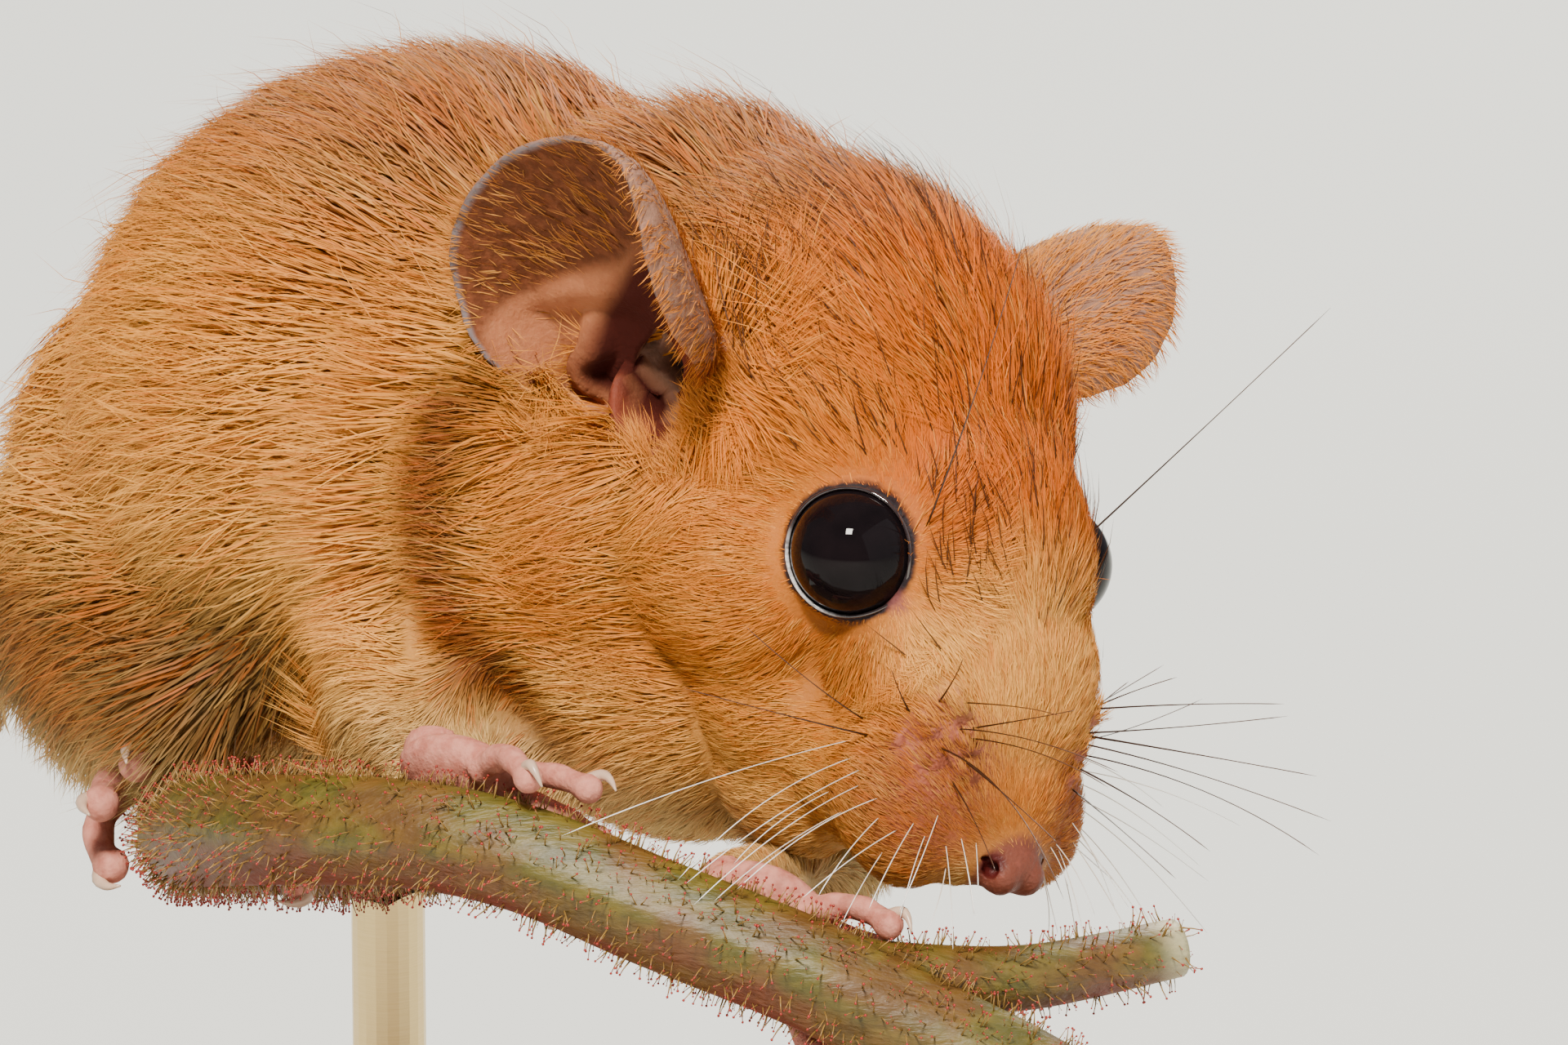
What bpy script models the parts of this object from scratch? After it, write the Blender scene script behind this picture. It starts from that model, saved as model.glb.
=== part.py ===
# Hazel dormouse, life size, gripping a cut length of bramble stem on a plain display stand.
# Drawn in millimetres and set down in metres at the end. +Z is up, the origin is under the base.

import math
import random

import bmesh
import bpy
from mathutils import Matrix, Vector
from mathutils.bvhtree import BVHTree

MM = 0.001
GAP = 0.3

# Head: midpoint of the eyes, and how the head is turned
HEAD_AT = (16.1, -14.9, 53.9)
HEAD_HEADING = -57.5
HEAD_PITCH = 40.0
HEAD_ROLL = -16.5

# Body: middle of the trunk, and its heading
BODY_AT = (-1.1, 1.2, 54.0)
BODY_HEADING = -48.0

# Where the head, neck and torso part: a leaning plane at the nape and an upright one at the collar
NAPE_AT = (-13.5, 0.0, 0.0)
NAPE_LEAN = 34.0
COLLAR_AT = (7.2, 0.0, 0.0)

# Eyes: centres, size of the ball, the way they look, and the rim of the lids
EYE_APART = 10.0
EYE_R = 2.35
EYE_LOOKS = (0.35, 0.88, 0.32)
LID_OPENS = 62.0
LID_BEAD = 0.55

# Muzzle, out to the tips of the coat, in the head's frame
MUZZLE_PITCH = 22.0
NOSE_AT = (10.7, 0.0, -4.3)
NOSTRIL_AT = (11.35, 1.05, -4.2)
NOSTRIL_SIZE = (0.7, 0.42, 0.36)
LIP_R = 0.42
LIP_LINE_R = 0.3
LIP_LINE = ((11.2, 0.0, -6.2), (9.6, 1.6, -7.2), (7.4, 2.8, -7.7), (5.0, 3.4, -7.4))

# Ears: the canal, the way to the top, and the way the cup faces, in the head's frame
EAR_ROOT = (-8.8, 8.3, -3.0)
EAR_TOP = (-14.0, 13.4, 4.8)
EAR_FACES = (0.49, 0.84, -0.22)
EAR_WALL = 0.6
EAR_SUNK = 2.2
# Angle from the top towards the rear, reach of the rim, its height over the canal, and its curl
EAR_RIM = (
    (-135, 1.4, 0.1, 0.0),
    (-95, 1.6, -0.1, 0.1),
    (-66, 2.2, 0.0, 0.3),
    (-48, 4.6, 1.3, 1.2),
    (-28, 8.3, 3.4, 1.3),
    (-9, 11.9, 2.0, 0.9),
    (10, 11.4, 0.9, 0.3),
    (30, 10.4, 0.5, 0.1),
    (54, 9.0, 0.5, 0.0),
    (77, 6.2, 0.9, 0.2),
    (105, 3.4, 0.2, 0.1),
    (140, 2.0, 0.1, 0.0),
)
# How fast the cup rises towards its rim at the front and elsewhere, and the angles between
EAR_RISES = (1.0, 1.6)
EAR_RISE_TURN = (-5.0, 15.0)
# Size of the right and the left ear: the left one is turned further back
EAR_SIZES = {-1: 1.0, 1: 0.88}
EAR_COLUMNS = 22
EAR_ROWS = 5

# Perch: the middle line of the stem and of the side shoot
STEM_R = 2.0
STEM_ROUTE = (
    (22.4, -26.4, 35.0),
    (18.6, -25.9, 37.3),
    (14.1, -25.2, 39.5),
    (10.6, -24.7, 41.2),
    (5.3, -23.3, 43.0),
    (0.9, -21.9, 44.5),
    (-3.2, -20.0, 44.9),
    (-8.2, -16.2, 44.0),
    (-11.5, -9.5, 42.0),
    (-12.5, -1.0, 39.4),
    (-11.0, 8.0, 36.6),
    (-8.0, 17.0, 33.9),
    (-5.0, 25.5, 31.2),
)
SHOOT_R = 1.2
SHOOT_ROUTE = ((11.6, -24.9, 40.9), (14.8, -23.9, 40.6), (19.0, -22.2, 40.2), (24.2, -19.6, 40.5))

# Feet: how far along the stem each one grips, the side of the stem it lies on in degrees from its top,
# the half-sizes of its pad, and for each toe the turn round the stem at its tip and its reach
HAND_PAD = (2.6, 1.9, 1.0)
HAND_TOE_R = 0.58
RIGHT_HAND = (0.352, 58, ((-62, 3.4), (-14, 4.6), (36, 4.4), (96, 3.0)))
LEFT_HAND = (0.197, 84, ((-50, 3.4), (-8, 4.4), (40, 4.4), (98, 3.0)))
FOOT_PAD = (4.6, 2.3, 1.1)
FOOT_TOE_R = 0.72
TOE_ROOM = 1.3
RIGHT_FOOT = (0.674, -12, ((-104, 3.0), (-56, 5.0), (-12, 5.8), (36, 5.2), (92, 3.2)))
LEFT_FOOT = (0.83, 14, ((-92, 3.2), (-36, 5.2), (12, 5.8), (56, 5.0), (104, 3.0)))

# Legs: furred balls in the body's frame, as (centre, radii), and the bones' (place, radius) in the same frame
FORELEG_BALLS = (((7.4, 10.6, -6.4), (5.2, 3.7, 5.6)),)
RIGHT_FOREARM = (((7.2, -11.5, -8.0), 3.2), ((8.8, -10.8, -10.4), 2.4))
LEFT_FOREARM = (((11.0, 8.8, -8.5), 3.1), ((16.6, 3.4, -13.0), 2.1))
THIGH_BALLS = (((-8.0, 10.8, -5.6), (9.6, 5.6, 8.6)), ((-3.0, 12.2, -7.6), (4.6, 3.8, 4.6)))
RIGHT_SHANK = (((-2.0, -12.0, -9.0), 3.0), ((-7.0, -10.5, -12.0), 2.6))
LEFT_SHANK = (((-3.0, 11.5, -9.5), 3.2), ((-11.0, 8.5, -13.5), 2.5))

# Tail: its route, the half-width of its coat along it, and the share of that in the core under the locks
TAIL_ROUTE = (
    (-15.0, 15.5, 48.5),
    (-21.0, 23.5, 43.0),
    (-27.0, 29.0, 35.5),
    (-33.5, 32.0, 28.5),
    (-41.0, 33.0, 23.8),
    (-49.5, 32.5, 21.6),
    (-57.5, 31.5, 21.8),
)
TAIL_COAT = (3.6, 4.0, 4.3, 4.6, 4.8, 4.5, 3.1)
TAIL_CORE = 0.6
TAIL_JOINTS = (0.36, 0.68)
TAIL_SOLVER = "MANIFOLD"
CUTTER_SIZE = 90.0

# Locks of the tail: rings along it, locks in each, and the length, width and thickness of one
LOCK_RINGS = 10
LOCKS_ROUND = 5
LOCK_LONG = 11.5
LOCK_WIDE = 4.9
LOCK_THICK = 1.3
# Along a lock: share of its length, share of its width, and how far out it has come
LOCK_SHAPE = ((0.0, 0.7, 0.0), (0.38, 1.0, 0.62), (0.74, 0.62, 0.9))

# Stand
BASE_R = 40.0
BASE_THICK = 8.0
ROD_R = 1.5
ROD_AT = (0.045, 0.957)

# Triangles kept in the soft forms
HEAD_FACES = 2200
TORSO_FACES = 1250
NECK_FACES = 400
LEG_FACES = 370


def clear_scene():
    for obj in list(bpy.data.objects):
        bpy.data.objects.remove(obj, do_unlink=True)


def make_collection(name):
    made = bpy.data.collections.new(name)
    bpy.context.scene.collection.children.link(made)
    return made


def material(name, colour, roughness, metallic=0.0):
    made = bpy.data.materials.new(name)
    made.use_nodes = True
    shader = made.node_tree.nodes["Principled BSDF"]
    shader.inputs["Base Color"].default_value = (*colour, 1.0)
    shader.inputs["Roughness"].default_value = roughness
    shader.inputs["Metallic"].default_value = metallic
    return made


def frame(at, heading, pitch=0.0, roll=0.0):
    """Matrix of a frame with x forward, y to the animal's left and z up."""
    turn = (
        Matrix.Rotation(math.radians(heading), 4, "Z")
        @ Matrix.Rotation(math.radians(pitch), 4, "Y")
        @ Matrix.Rotation(math.radians(roll), 4, "X")
    )
    return Matrix.Translation(at) @ turn


HEAD = frame(HEAD_AT, HEAD_HEADING, HEAD_PITCH, HEAD_ROLL)
BODY = frame(BODY_AT, BODY_HEADING)


def mirrored(place, side):
    return (place[0], side * place[1], place[2])


def evaluated_copy(obj, name):
    """Plain mesh object of what the modifiers make, with its doubles welded; the first one is removed."""
    graph = bpy.context.evaluated_depsgraph_get()
    graph.update()
    mesh = bpy.data.meshes.new_from_object(obj.evaluated_get(graph))
    mesh.transform(obj.matrix_world)
    bpy.data.objects.remove(obj, do_unlink=True)
    bm = bmesh.new()
    bm.from_mesh(mesh)
    bmesh.ops.remove_doubles(bm, verts=bm.verts, dist=0.0005)
    bmesh.ops.recalc_face_normals(bm, faces=bm.faces)
    bm.to_mesh(mesh)
    bm.free()
    made = bpy.data.objects.new(name, mesh)
    work.objects.link(made)
    return made


def object_of(bm, name):
    mesh = bpy.data.meshes.new(name)
    bm.to_mesh(mesh)
    bm.free()
    made = bpy.data.objects.new(name, mesh)
    work.objects.link(made)
    return made


def add_ball(bm, place, centre, radii, pitch=0.0, yaw=0.0, fine=3):
    turn = Matrix.Rotation(math.radians(yaw), 4, "Z") @ Matrix.Rotation(math.radians(pitch), 4, "Y")
    size = Matrix.Diagonal((*radii, 1.0))
    matrix = place @ Matrix.Translation(centre) @ turn @ size
    bmesh.ops.create_icosphere(bm, subdivisions=fine, radius=1.0, matrix=matrix)


def tube(name, points, radii, sides=2, steps=6):
    """Round tapering tube through the points, as a mesh with welded caps."""
    curve = bpy.data.curves.new(name, "CURVE")
    curve.dimensions = "3D"
    curve.bevel_depth = 1.0
    curve.bevel_resolution = sides
    curve.use_fill_caps = True
    spline = curve.splines.new("POLY")
    path = smooth_path(points, radii, steps)
    spline.points.add(len(path) - 1)
    for point, (place, radius) in zip(spline.points, path):
        point.co = (*place, 1.0)
        point.radius = radius
    obj = bpy.data.objects.new(name, curve)
    work.objects.link(obj)
    bpy.context.view_layer.update()
    return evaluated_copy(obj, name)


def catmull(before, start, end, after, t):
    return 0.5 * (
        2 * start
        + (end - before) * t
        + (2 * before - 5 * start + 4 * end - after) * t * t
        + (3 * start - before - 3 * end + after) * t * t * t
    )


def smooth_path(points, radii, steps):
    """(place, radius) along a smooth curve through the points."""
    places = [Vector(p) for p in points]
    path = []
    last = len(places) - 1
    for i in range(last):
        four = [places[max(i - 1, 0)], places[i], places[i + 1], places[min(i + 2, last)]]
        width = [radii[max(i - 1, 0)], radii[i], radii[i + 1], radii[min(i + 2, last)]]
        for k in range(steps):
            t = k / steps
            path.append((catmull(*four, t), max(catmull(*width, t), 0.05)))
    path.append((places[-1], radii[-1]))
    return path


def fuse(bm, name, voxel, rounds):
    """One closed soft form from overlapping balls."""
    obj = object_of(bm, name)
    remesh = obj.modifiers.new("Fuse", "REMESH")
    remesh.mode = "VOXEL"
    remesh.voxel_size = voxel
    smooth = obj.modifiers.new("Soften", "SMOOTH")
    smooth.factor = 0.5
    smooth.iterations = rounds
    return evaluated_copy(obj, name)


def thinned(obj, faces):
    count = sum(len(polygon.vertices) - 2 for polygon in obj.data.polygons)
    if count <= faces:
        return obj
    thin = obj.modifiers.new("Thin", "DECIMATE")
    thin.ratio = faces / count
    thin.use_collapse_triangulate = True
    return evaluated_copy(obj, obj.name)


def combine(obj, others, operation, solver="EXACT"):
    """Boolean of the object with the others, which stay; only its largest closed surface is kept."""
    helpers = bpy.data.collections.new("Helpers")
    bpy.context.scene.collection.children.link(helpers)
    for other in others:
        helpers.objects.link(other)
    mod = obj.modifiers.new(operation.title(), "BOOLEAN")
    mod.operation = operation
    mod.solver = solver
    mod.operand_type = "COLLECTION"
    mod.collection = helpers
    made = evaluated_copy(obj, obj.name)
    for other in others:
        helpers.objects.unlink(other)
    bpy.data.collections.remove(helpers)
    return largest(made)


def largest(obj):
    """The same object with only its largest closed surface."""
    bm = bmesh.new()
    bm.from_mesh(obj.data)
    bm.faces.ensure_lookup_table()
    left = set(bm.faces)
    groups = []
    while left:
        start = left.pop()
        group = [start]
        front = [start]
        while front:
            face = front.pop()
            for edge in face.edges:
                for near in edge.link_faces:
                    if near in left:
                        left.remove(near)
                        group.append(near)
                        front.append(near)
        groups.append(group)
    keep = max(groups, key=lambda group: sum(face.calc_area() for face in group))
    drop = [face for group in groups if group is not keep for face in group]
    bmesh.ops.delete(bm, geom=drop, context="FACES")
    bm.to_mesh(obj.data)
    bm.free()
    return obj


def duplicate(obj, name):
    made = bpy.data.objects.new(name, obj.data.copy())
    work.objects.link(made)
    return made


def swollen(obj, distance, name):
    """Copy of the object grown along its normals."""
    made = duplicate(obj, name)
    grow = made.modifiers.new("Grow", "DISPLACE")
    grow.strength = distance
    grow.mid_level = 0.0
    return evaluated_copy(made, name)


def cut_by_plane(obj, point, normal, name):
    """Copy of the part of the object on the side that the normal points to, with a flat face on the cut."""
    made = duplicate(obj, name)
    bm = bmesh.new()
    bm.from_mesh(made.data)
    every = list(bm.verts) + list(bm.edges) + list(bm.faces)
    bmesh.ops.bisect_plane(bm, geom=every, dist=1e-5, plane_co=point, plane_no=normal, clear_inner=True)
    open_edges = [edge for edge in bm.edges if edge.is_boundary]
    bmesh.ops.holes_fill(bm, edges=open_edges, sides=0)
    bmesh.ops.triangulate(bm, faces=[face for face in bm.faces if len(face.verts) > 4])
    bmesh.ops.recalc_face_normals(bm, faces=bm.faces)
    bm.to_mesh(made.data)
    bm.free()
    return largest(made)


def finish(obj, name, finish_material):
    """Moves the piece into the part's own collection under its node's name."""
    obj.name = name
    obj.data.name = name
    obj.data.materials.clear()
    obj.data.materials.append(finish_material)
    obj.data.transform(Matrix.Scale(MM, 4))
    obj.data.shade_smooth()
    work.objects.unlink(obj)
    part.objects.link(obj)
    return obj


# The head, neck and torso are modelled as one soft form
def head_forms(bm):
    add_ball(bm, HEAD, (-8.5, 0, -0.6), (10.6, 9.2, 8.9))
    add_ball(bm, HEAD, (-1.2, 0, -0.2), (7.2, 6.0, 6.3))
    add_ball(bm, HEAD, (3.0, 0, -1.8), (6.4, 5.6, 4.9), pitch=MUZZLE_PITCH)
    add_ball(bm, HEAD, (5.4, 0, -3.2), (5.7, 4.7, 3.5), pitch=MUZZLE_PITCH)
    add_ball(bm, HEAD, NOSE_AT, (1.2, 1.5, 1.15), pitch=MUZZLE_PITCH)
    add_ball(bm, HEAD, (3.2, 0, -6.1), (5.9, 3.8, 2.6), pitch=MUZZLE_PITCH)
    add_ball(bm, HEAD, (-6.5, 0, -7.2), (8.0, 7.0, 4.8))
    for side in (-1, 1):
        add_ball(bm, HEAD, (6.9, side * 2.9, -4.7), (3.9, 2.8, 2.6), pitch=MUZZLE_PITCH)
        add_ball(bm, HEAD, (-5.0, side * 5.0, -4.8), (7.0, 4.7, 5.4))
        add_ball(bm, HEAD, (8.9, side * 1.3, -4.6), (2.2, 1.8, 1.9), pitch=MUZZLE_PITCH)
        add_ball(bm, HEAD, (-0.9, side * 3.5, 2.0), (3.5, 2.0, 1.8))
        add_ball(bm, HEAD, (3.6, side * 2.2, -6.0), (5.0, 3.2, 3.0))
        add_ball(bm, HEAD, (-0.5, side * 3.2, -7.2), (5.5, 3.8, 3.8))
        add_ball(bm, HEAD, (1.5, side * 2.0, -8.8), (5.0, 3.6, 3.6))


def neck_forms(bm):
    add_ball(bm, HEAD, (-15.5, 0, -3.5), (8.5, 9.2, 8.4))
    add_ball(bm, HEAD, (-12.0, 0, -9.0), (8.5, 8.8, 6.0))
    add_ball(bm, BODY, (11.0, 1.0, 0.0), (9.0, 11.6, 10.5))
    add_ball(bm, BODY, (12.0, 0.0, -5.5), (8.5, 9.5, 7.5))


def torso_forms(bm):
    add_ball(bm, BODY, (5.0, 0.5, 0.0), (13.0, 14.2, 13.8))
    add_ball(bm, BODY, (-2.6, 0, 1.2), (15.6, 15.8, 15.2))
    add_ball(bm, BODY, (-10.5, 0, -2.5), (11.5, 14.2, 13.0))


def whole_body():
    bm = bmesh.new()
    head_forms(bm)
    neck_forms(bm)
    torso_forms(bm)
    return fuse(bm, "whole", 0.55, 14)


def head_and_trunk():
    """Head, neck and torso: one form parted by two thin flat cuts."""
    whole = whole_body()
    lean = math.radians(NAPE_LEAN)
    nape = HEAD @ Vector(NAPE_AT)
    nape_way = HEAD.to_3x3() @ Vector((math.cos(lean), 0, math.sin(lean)))
    collar = BODY @ Vector(COLLAR_AT)
    collar_way = BODY.to_3x3() @ Vector((1, 0, 0))
    half = GAP / 2
    head = cut_by_plane(whole, nape + nape_way * half, nape_way, "head")
    trunk = cut_by_plane(whole, nape - nape_way * half, -nape_way, "trunk")
    neck = cut_by_plane(trunk, collar + collar_way * half, collar_way, "neck")
    torso = cut_by_plane(trunk, collar - collar_way * half, -collar_way, "torso")
    return thinned(head, HEAD_FACES), thinned(neck, NECK_FACES), thinned(torso, TORSO_FACES)


def surface_point(tree, place, outward):
    """Where a line through the place, in the head's frame, leaves the head."""
    start = HEAD @ Vector(place)
    way = (HEAD.to_3x3() @ Vector(outward)).normalized()
    hit = tree.ray_cast(start + way * 20, -way)[0]
    return hit if hit else start


def face_details(head):
    """Lids, lips, mouth line, nostrils and ear canals, worked into the head."""
    added = []
    removed = []
    tree = BVHTree.FromPolygons(
        [v.co for v in head.data.vertices], [tuple(p.vertices) for p in head.data.polygons]
    )
    for side in (-1, 1):
        looks = Vector((EYE_LOOKS[0], side * EYE_LOOKS[1], EYE_LOOKS[2])).normalized()
        centre = Vector((0, side * EYE_APART / 2, 0))
        reach = EYE_R + GAP
        opening = math.radians(LID_OPENS)
        ring_at = HEAD @ (centre + looks * reach * math.cos(opening))
        looks_world = HEAD.to_3x3() @ looks
        added.append(ring("lid", ring_at, looks_world, reach * math.sin(opening), LID_BEAD))
        socket = bmesh.new()
        add_ball(socket, HEAD, centre, (reach, reach, reach))
        removed.append(object_of(socket, "socket"))
        nostril = bmesh.new()
        place = (NOSTRIL_AT[0], side * NOSTRIL_AT[1], NOSTRIL_AT[2])
        add_ball(nostril, HEAD, place, NOSTRIL_SIZE, yaw=side * 35, fine=2)
        removed.append(object_of(nostril, "nostril"))
        canal = bmesh.new()
        add_ball(canal, HEAD, (EAR_ROOT[0], side * EAR_ROOT[1], EAR_ROOT[2]), (1.3, 2.6, 1.5), fine=2)
        removed.append(object_of(canal, "canal"))
        line = [surface_point(tree, (x, side * y, z), (0.25, side * y * 0.3, -1)) for x, y, z in LIP_LINE]
        raised = [place + HEAD.to_3x3() @ Vector((0.1, side * 0.1, 0.5)) for place in line]
        added.append(tube("lip", raised, [LIP_R] * len(line), sides=1, steps=2))
        removed.append(tube("mouth", line, [LIP_LINE_R] * len(line), sides=1, steps=2))
    cleft = [surface_point(tree, (11.4, 0, z), (1, 0, -0.4)) for z in (-5.0, -5.8, -6.6)]
    removed.append(tube("cleft", cleft, [0.28] * len(cleft), sides=1, steps=2))
    head = combine(head, added, "UNION")
    for cutter in removed:
        head = combine(head, [cutter], "DIFFERENCE")
    return head


def ring(name, centre, axis, radius, bead):
    bpy.ops.mesh.primitive_torus_add(
        major_radius=radius, minor_radius=bead, major_segments=22, minor_segments=6
    )
    made = bpy.context.object
    turn = axis.to_track_quat("Z", "Y").to_matrix().to_4x4()
    made.data.transform(Matrix.Translation(centre) @ turn)
    mesh = made.data
    bpy.data.objects.remove(made, do_unlink=True)
    made = bpy.data.objects.new(name, mesh)
    work.objects.link(made)
    return made


def eye(side, name):
    bm = bmesh.new()
    matrix = HEAD @ Matrix.Translation((0, side * EYE_APART / 2, 0))
    bmesh.ops.create_uvsphere(bm, u_segments=16, v_segments=10, radius=EYE_R, matrix=matrix)
    return object_of(bm, name)


def between(table, angle):
    """Smooth reading of a table of (angle, values...) at an angle."""
    for low, high in zip(table, table[1:]):
        if angle <= high[0]:
            break
    t = (angle - low[0]) / (high[0] - low[0])
    t = min(max(t, 0.0), 1.0)
    t = t * t * (3 - 2 * t)
    return [a + (b - a) * t for a, b in zip(low[1:], high[1:])]


def ear_surface(side, turn, out):
    """Place on the ear's inner face: turn from one end of the rim to the other, out from canal to rim."""
    root = Vector(EAR_ROOT)
    face = Vector(EAR_FACES).normalized()
    top = Vector(EAR_TOP) - root
    top = (top - face * top.dot(face)).normalized()
    rear = top.cross(face)
    angle = EAR_RIM[0][0] + (EAR_RIM[-1][0] - EAR_RIM[0][0]) * turn
    reach, height, curl = between(EAR_RIM, angle)
    reach *= EAR_SIZES[side]
    height *= EAR_SIZES[side]
    radial = out * (1 + curl * (1 - out))
    front, rear_part = EAR_RISES
    low, high = EAR_RISE_TURN
    power = front + (rear_part - front) * min(max((angle - low) / (high - low), 0.0), 1.0)
    rise = -EAR_SUNK + (height + EAR_SUNK) * out**power
    a = math.radians(angle)
    place = root + (top * math.cos(a) + rear * math.sin(a)) * (reach * radial + 0.8 * (1 - out))
    place += face * rise
    return HEAD @ Vector((place.x, side * place.y, place.z))


def ear(side, name, around):
    """Cupped shell that stands on the head."""
    bm = bmesh.new()
    bmesh.ops.create_grid(bm, x_segments=EAR_COLUMNS, y_segments=EAR_ROWS, size=0.5)
    for vert in bm.verts:
        vert.co = ear_surface(side, vert.co.x + 0.5, 0.12 + 0.88 * (vert.co.y + 0.5))
    obj = object_of(bm, name)
    shell = obj.modifiers.new("Wall", "SOLIDIFY")
    shell.thickness = EAR_WALL
    shell.offset = 0.0
    obj = evaluated_copy(obj, name)
    return combine(obj, around, "DIFFERENCE")


# Perch
def along(route, share, steps=12):
    """Place, way on, up and side at a share of the length of a smooth route."""
    path = [place for place, radius in smooth_path(route, [1.0] * len(route), steps)]
    lengths = [(b - a).length for a, b in zip(path, path[1:])]
    left = sum(lengths) * share
    for i, length in enumerate(lengths):
        if left <= length:
            break
        left -= length
    way = (path[i + 1] - path[i]).normalized()
    place = path[i] + way * left
    side = way.cross(Vector((0, 0, 1))).normalized()
    up = side.cross(way).normalized()
    return place, way, up, side


def stem():
    """Cut length of stem with the stub of a side shoot."""
    radii = [STEM_R] * len(STEM_ROUTE)
    obj = tube("perch_stem", STEM_ROUTE, radii, sides=2, steps=2)
    shoot = tube("shoot", SHOOT_ROUTE, [1.7, 1.35, SHOOT_R, SHOOT_R * 0.92], sides=1, steps=4)
    return combine(obj, [shoot], "UNION")


# Feet
def grip_point(share, angle, radius, shift):
    """Place round the stem: the angle runs from its top towards the side, shift along it."""
    place, way, up, side = along(STEM_ROUTE, share)
    a = math.radians(angle)
    return place + way * shift + (up * math.cos(a) + side * math.sin(a)) * radius


def pad_ball(grip, pad, extra):
    """The pad of a foot, lying along the stem."""
    share, lean, toes = grip
    place, way, up, side = along(STEM_ROUTE, share)
    a = math.radians(lean)
    out = up * math.cos(a) + side * math.sin(a)
    turn = Matrix((way, out.cross(way), out)).transposed().to_4x4()
    centre = place + out * (STEM_R + GAP + pad[2] * 0.85)
    bm = bmesh.new()
    add_ball(bm, Matrix.Translation(centre) @ turn, (0, 0, 0), [half + extra for half in pad], fine=2)
    return object_of(bm, "pad")


def toe_room(grip, pad, toe_r):
    """Space round the stem that the leg leaves free for the toes."""
    share, lean, toes = grip
    reach = max(turned_reach[1] for turned_reach in toes)
    place, way, up, side = along(STEM_ROUTE, share)
    centre = place - way * (pad[0] / 2 + reach * 0.6)
    turn = Matrix((way, side, up)).transposed().to_4x4()
    round_stem = STEM_R + GAP + 2 * toe_r + TOE_ROOM
    bm = bmesh.new()
    add_ball(bm, Matrix.Translation(centre) @ turn, (0, 0, 0), (reach + 1.5, round_stem, round_stem), fine=2)
    bmesh.ops.recalc_face_normals(bm, faces=bm.faces)
    return object_of(bm, "room")


def gripping_foot(name, grip, pad, toe_r, around):
    """Foot round the stem: a pad that lies along it, toes that spread and curl round it, and claws."""
    share, lean, toes = grip
    clear = STEM_R + GAP
    foot = pad_ball(grip, pad, 0.0)
    foot.name = name
    pieces = []
    for turned, reach in toes:
        points = []
        for k in range(5):
            t = k / 4
            angle = lean + turned * (0.3 + 0.7 * t)
            lift = 0.5 * math.sin(math.pi * t)
            points.append(grip_point(share, angle, clear + toe_r + lift, -pad[0] * 0.5 - reach * t))
        radii = [toe_r * r for r in (1.3, 1.0, 1.0, 0.95, 1.1)]
        pieces.append(tube("toe", points, radii, sides=1, steps=1))
        claw = []
        for t, lift in ((0.96, 0.35), (1.1, 0.55), (1.26, 0.1)):
            angle = lean + turned * (0.3 + 0.7 * t)
            claw.append(grip_point(share, angle, clear + toe_r + lift, -pad[0] * 0.5 - reach * t))
        pieces.append(tube("claw", claw, [toe_r * 0.55, toe_r * 0.45, 0.1], sides=0, steps=1))
    foot = combine(foot, pieces, "UNION")
    return combine(foot, around, "DIFFERENCE")


def wrist(grip, pad):
    """Where the leg comes down to the back of the pad."""
    return grip_point(grip[0], grip[1], STEM_R + GAP + pad[2] * 1.7, pad[0] * 0.75)


def leg(name, side, balls, bones, end, around):
    """Furred limb: balls and bones in the body's frame, down to the wrist or heel, clear of its neighbours."""
    bm = bmesh.new()
    for centre, radii in balls:
        add_ball(bm, BODY, mirrored(centre, side), radii)
    places = [BODY @ Vector(place) for place, radius in bones] + [end]
    radii = [radius for place, radius in bones] + [1.5]
    piece = tube("bone", places, radii, sides=3, steps=5)
    bm.from_mesh(piece.data)
    obj = thinned(fuse(bm, name, 0.5, 8), LEG_FACES)
    for other in around:
        obj = combine(obj, [other], "DIFFERENCE")
    return thinned(obj, LEG_FACES)


# Tail
def tail_place(share, angle, radius):
    """Place round the tail, and the ways outwards and across there."""
    place, way, up, side = along(TAIL_ROUTE, share)
    out = up * math.cos(angle) + side * math.sin(angle)
    return place + out * radius, out, way.cross(out)


def coat_reach(share):
    """Distance from the middle of the tail to the tips of its coat, drawing in past its end."""
    step = min(share, 1.0) * (len(TAIL_COAT) - 1)
    low = min(int(step), len(TAIL_COAT) - 2)
    reach = TAIL_COAT[low] + (TAIL_COAT[low + 1] - TAIL_COAT[low]) * (step - low)
    return reach * max(1.0 - 6.0 * max(share - 1.0, 0.0), 0.2)


def lock(share, angle, bend, size):
    """Flat, tapering lock that leaves the core at a low slope, bends and comes to a point at the coat's edge."""
    length = sum((Vector(b) - Vector(a)).length for a, b in zip(TAIL_ROUTE, TAIL_ROUTE[1:]))
    span = LOCK_LONG * size / length
    low = coat_reach(share) * TAIL_CORE - 0.7
    high = coat_reach(share + span) - 0.15
    bm = bmesh.new()
    rows = []
    for t, spread, rise in LOCK_SHAPE:
        radius = low + (high - low) * rise
        place, out, across = tail_place(share + span * t, angle + bend * t, radius)
        wide = across * (LOCK_WIDE * size * spread / 2)
        thick = out * (LOCK_THICK * spread / 2)
        rows.append([bm.verts.new(corner) for corner in (place + wide, place + thick, place - wide, place - thick)])
    tip = bm.verts.new(tail_place(share + span, angle + bend, high)[0])
    bm.faces.new(rows[0])
    for one, two in zip(rows, rows[1:]):
        for i in range(4):
            bm.faces.new((one[i], one[i - 1], two[i - 1], two[i]))
    for i in range(4):
        bm.faces.new((rows[-1][i], rows[-1][i - 1], tip))
    bmesh.ops.recalc_face_normals(bm, faces=bm.faces)
    return object_of(bm, "lock")


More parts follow.
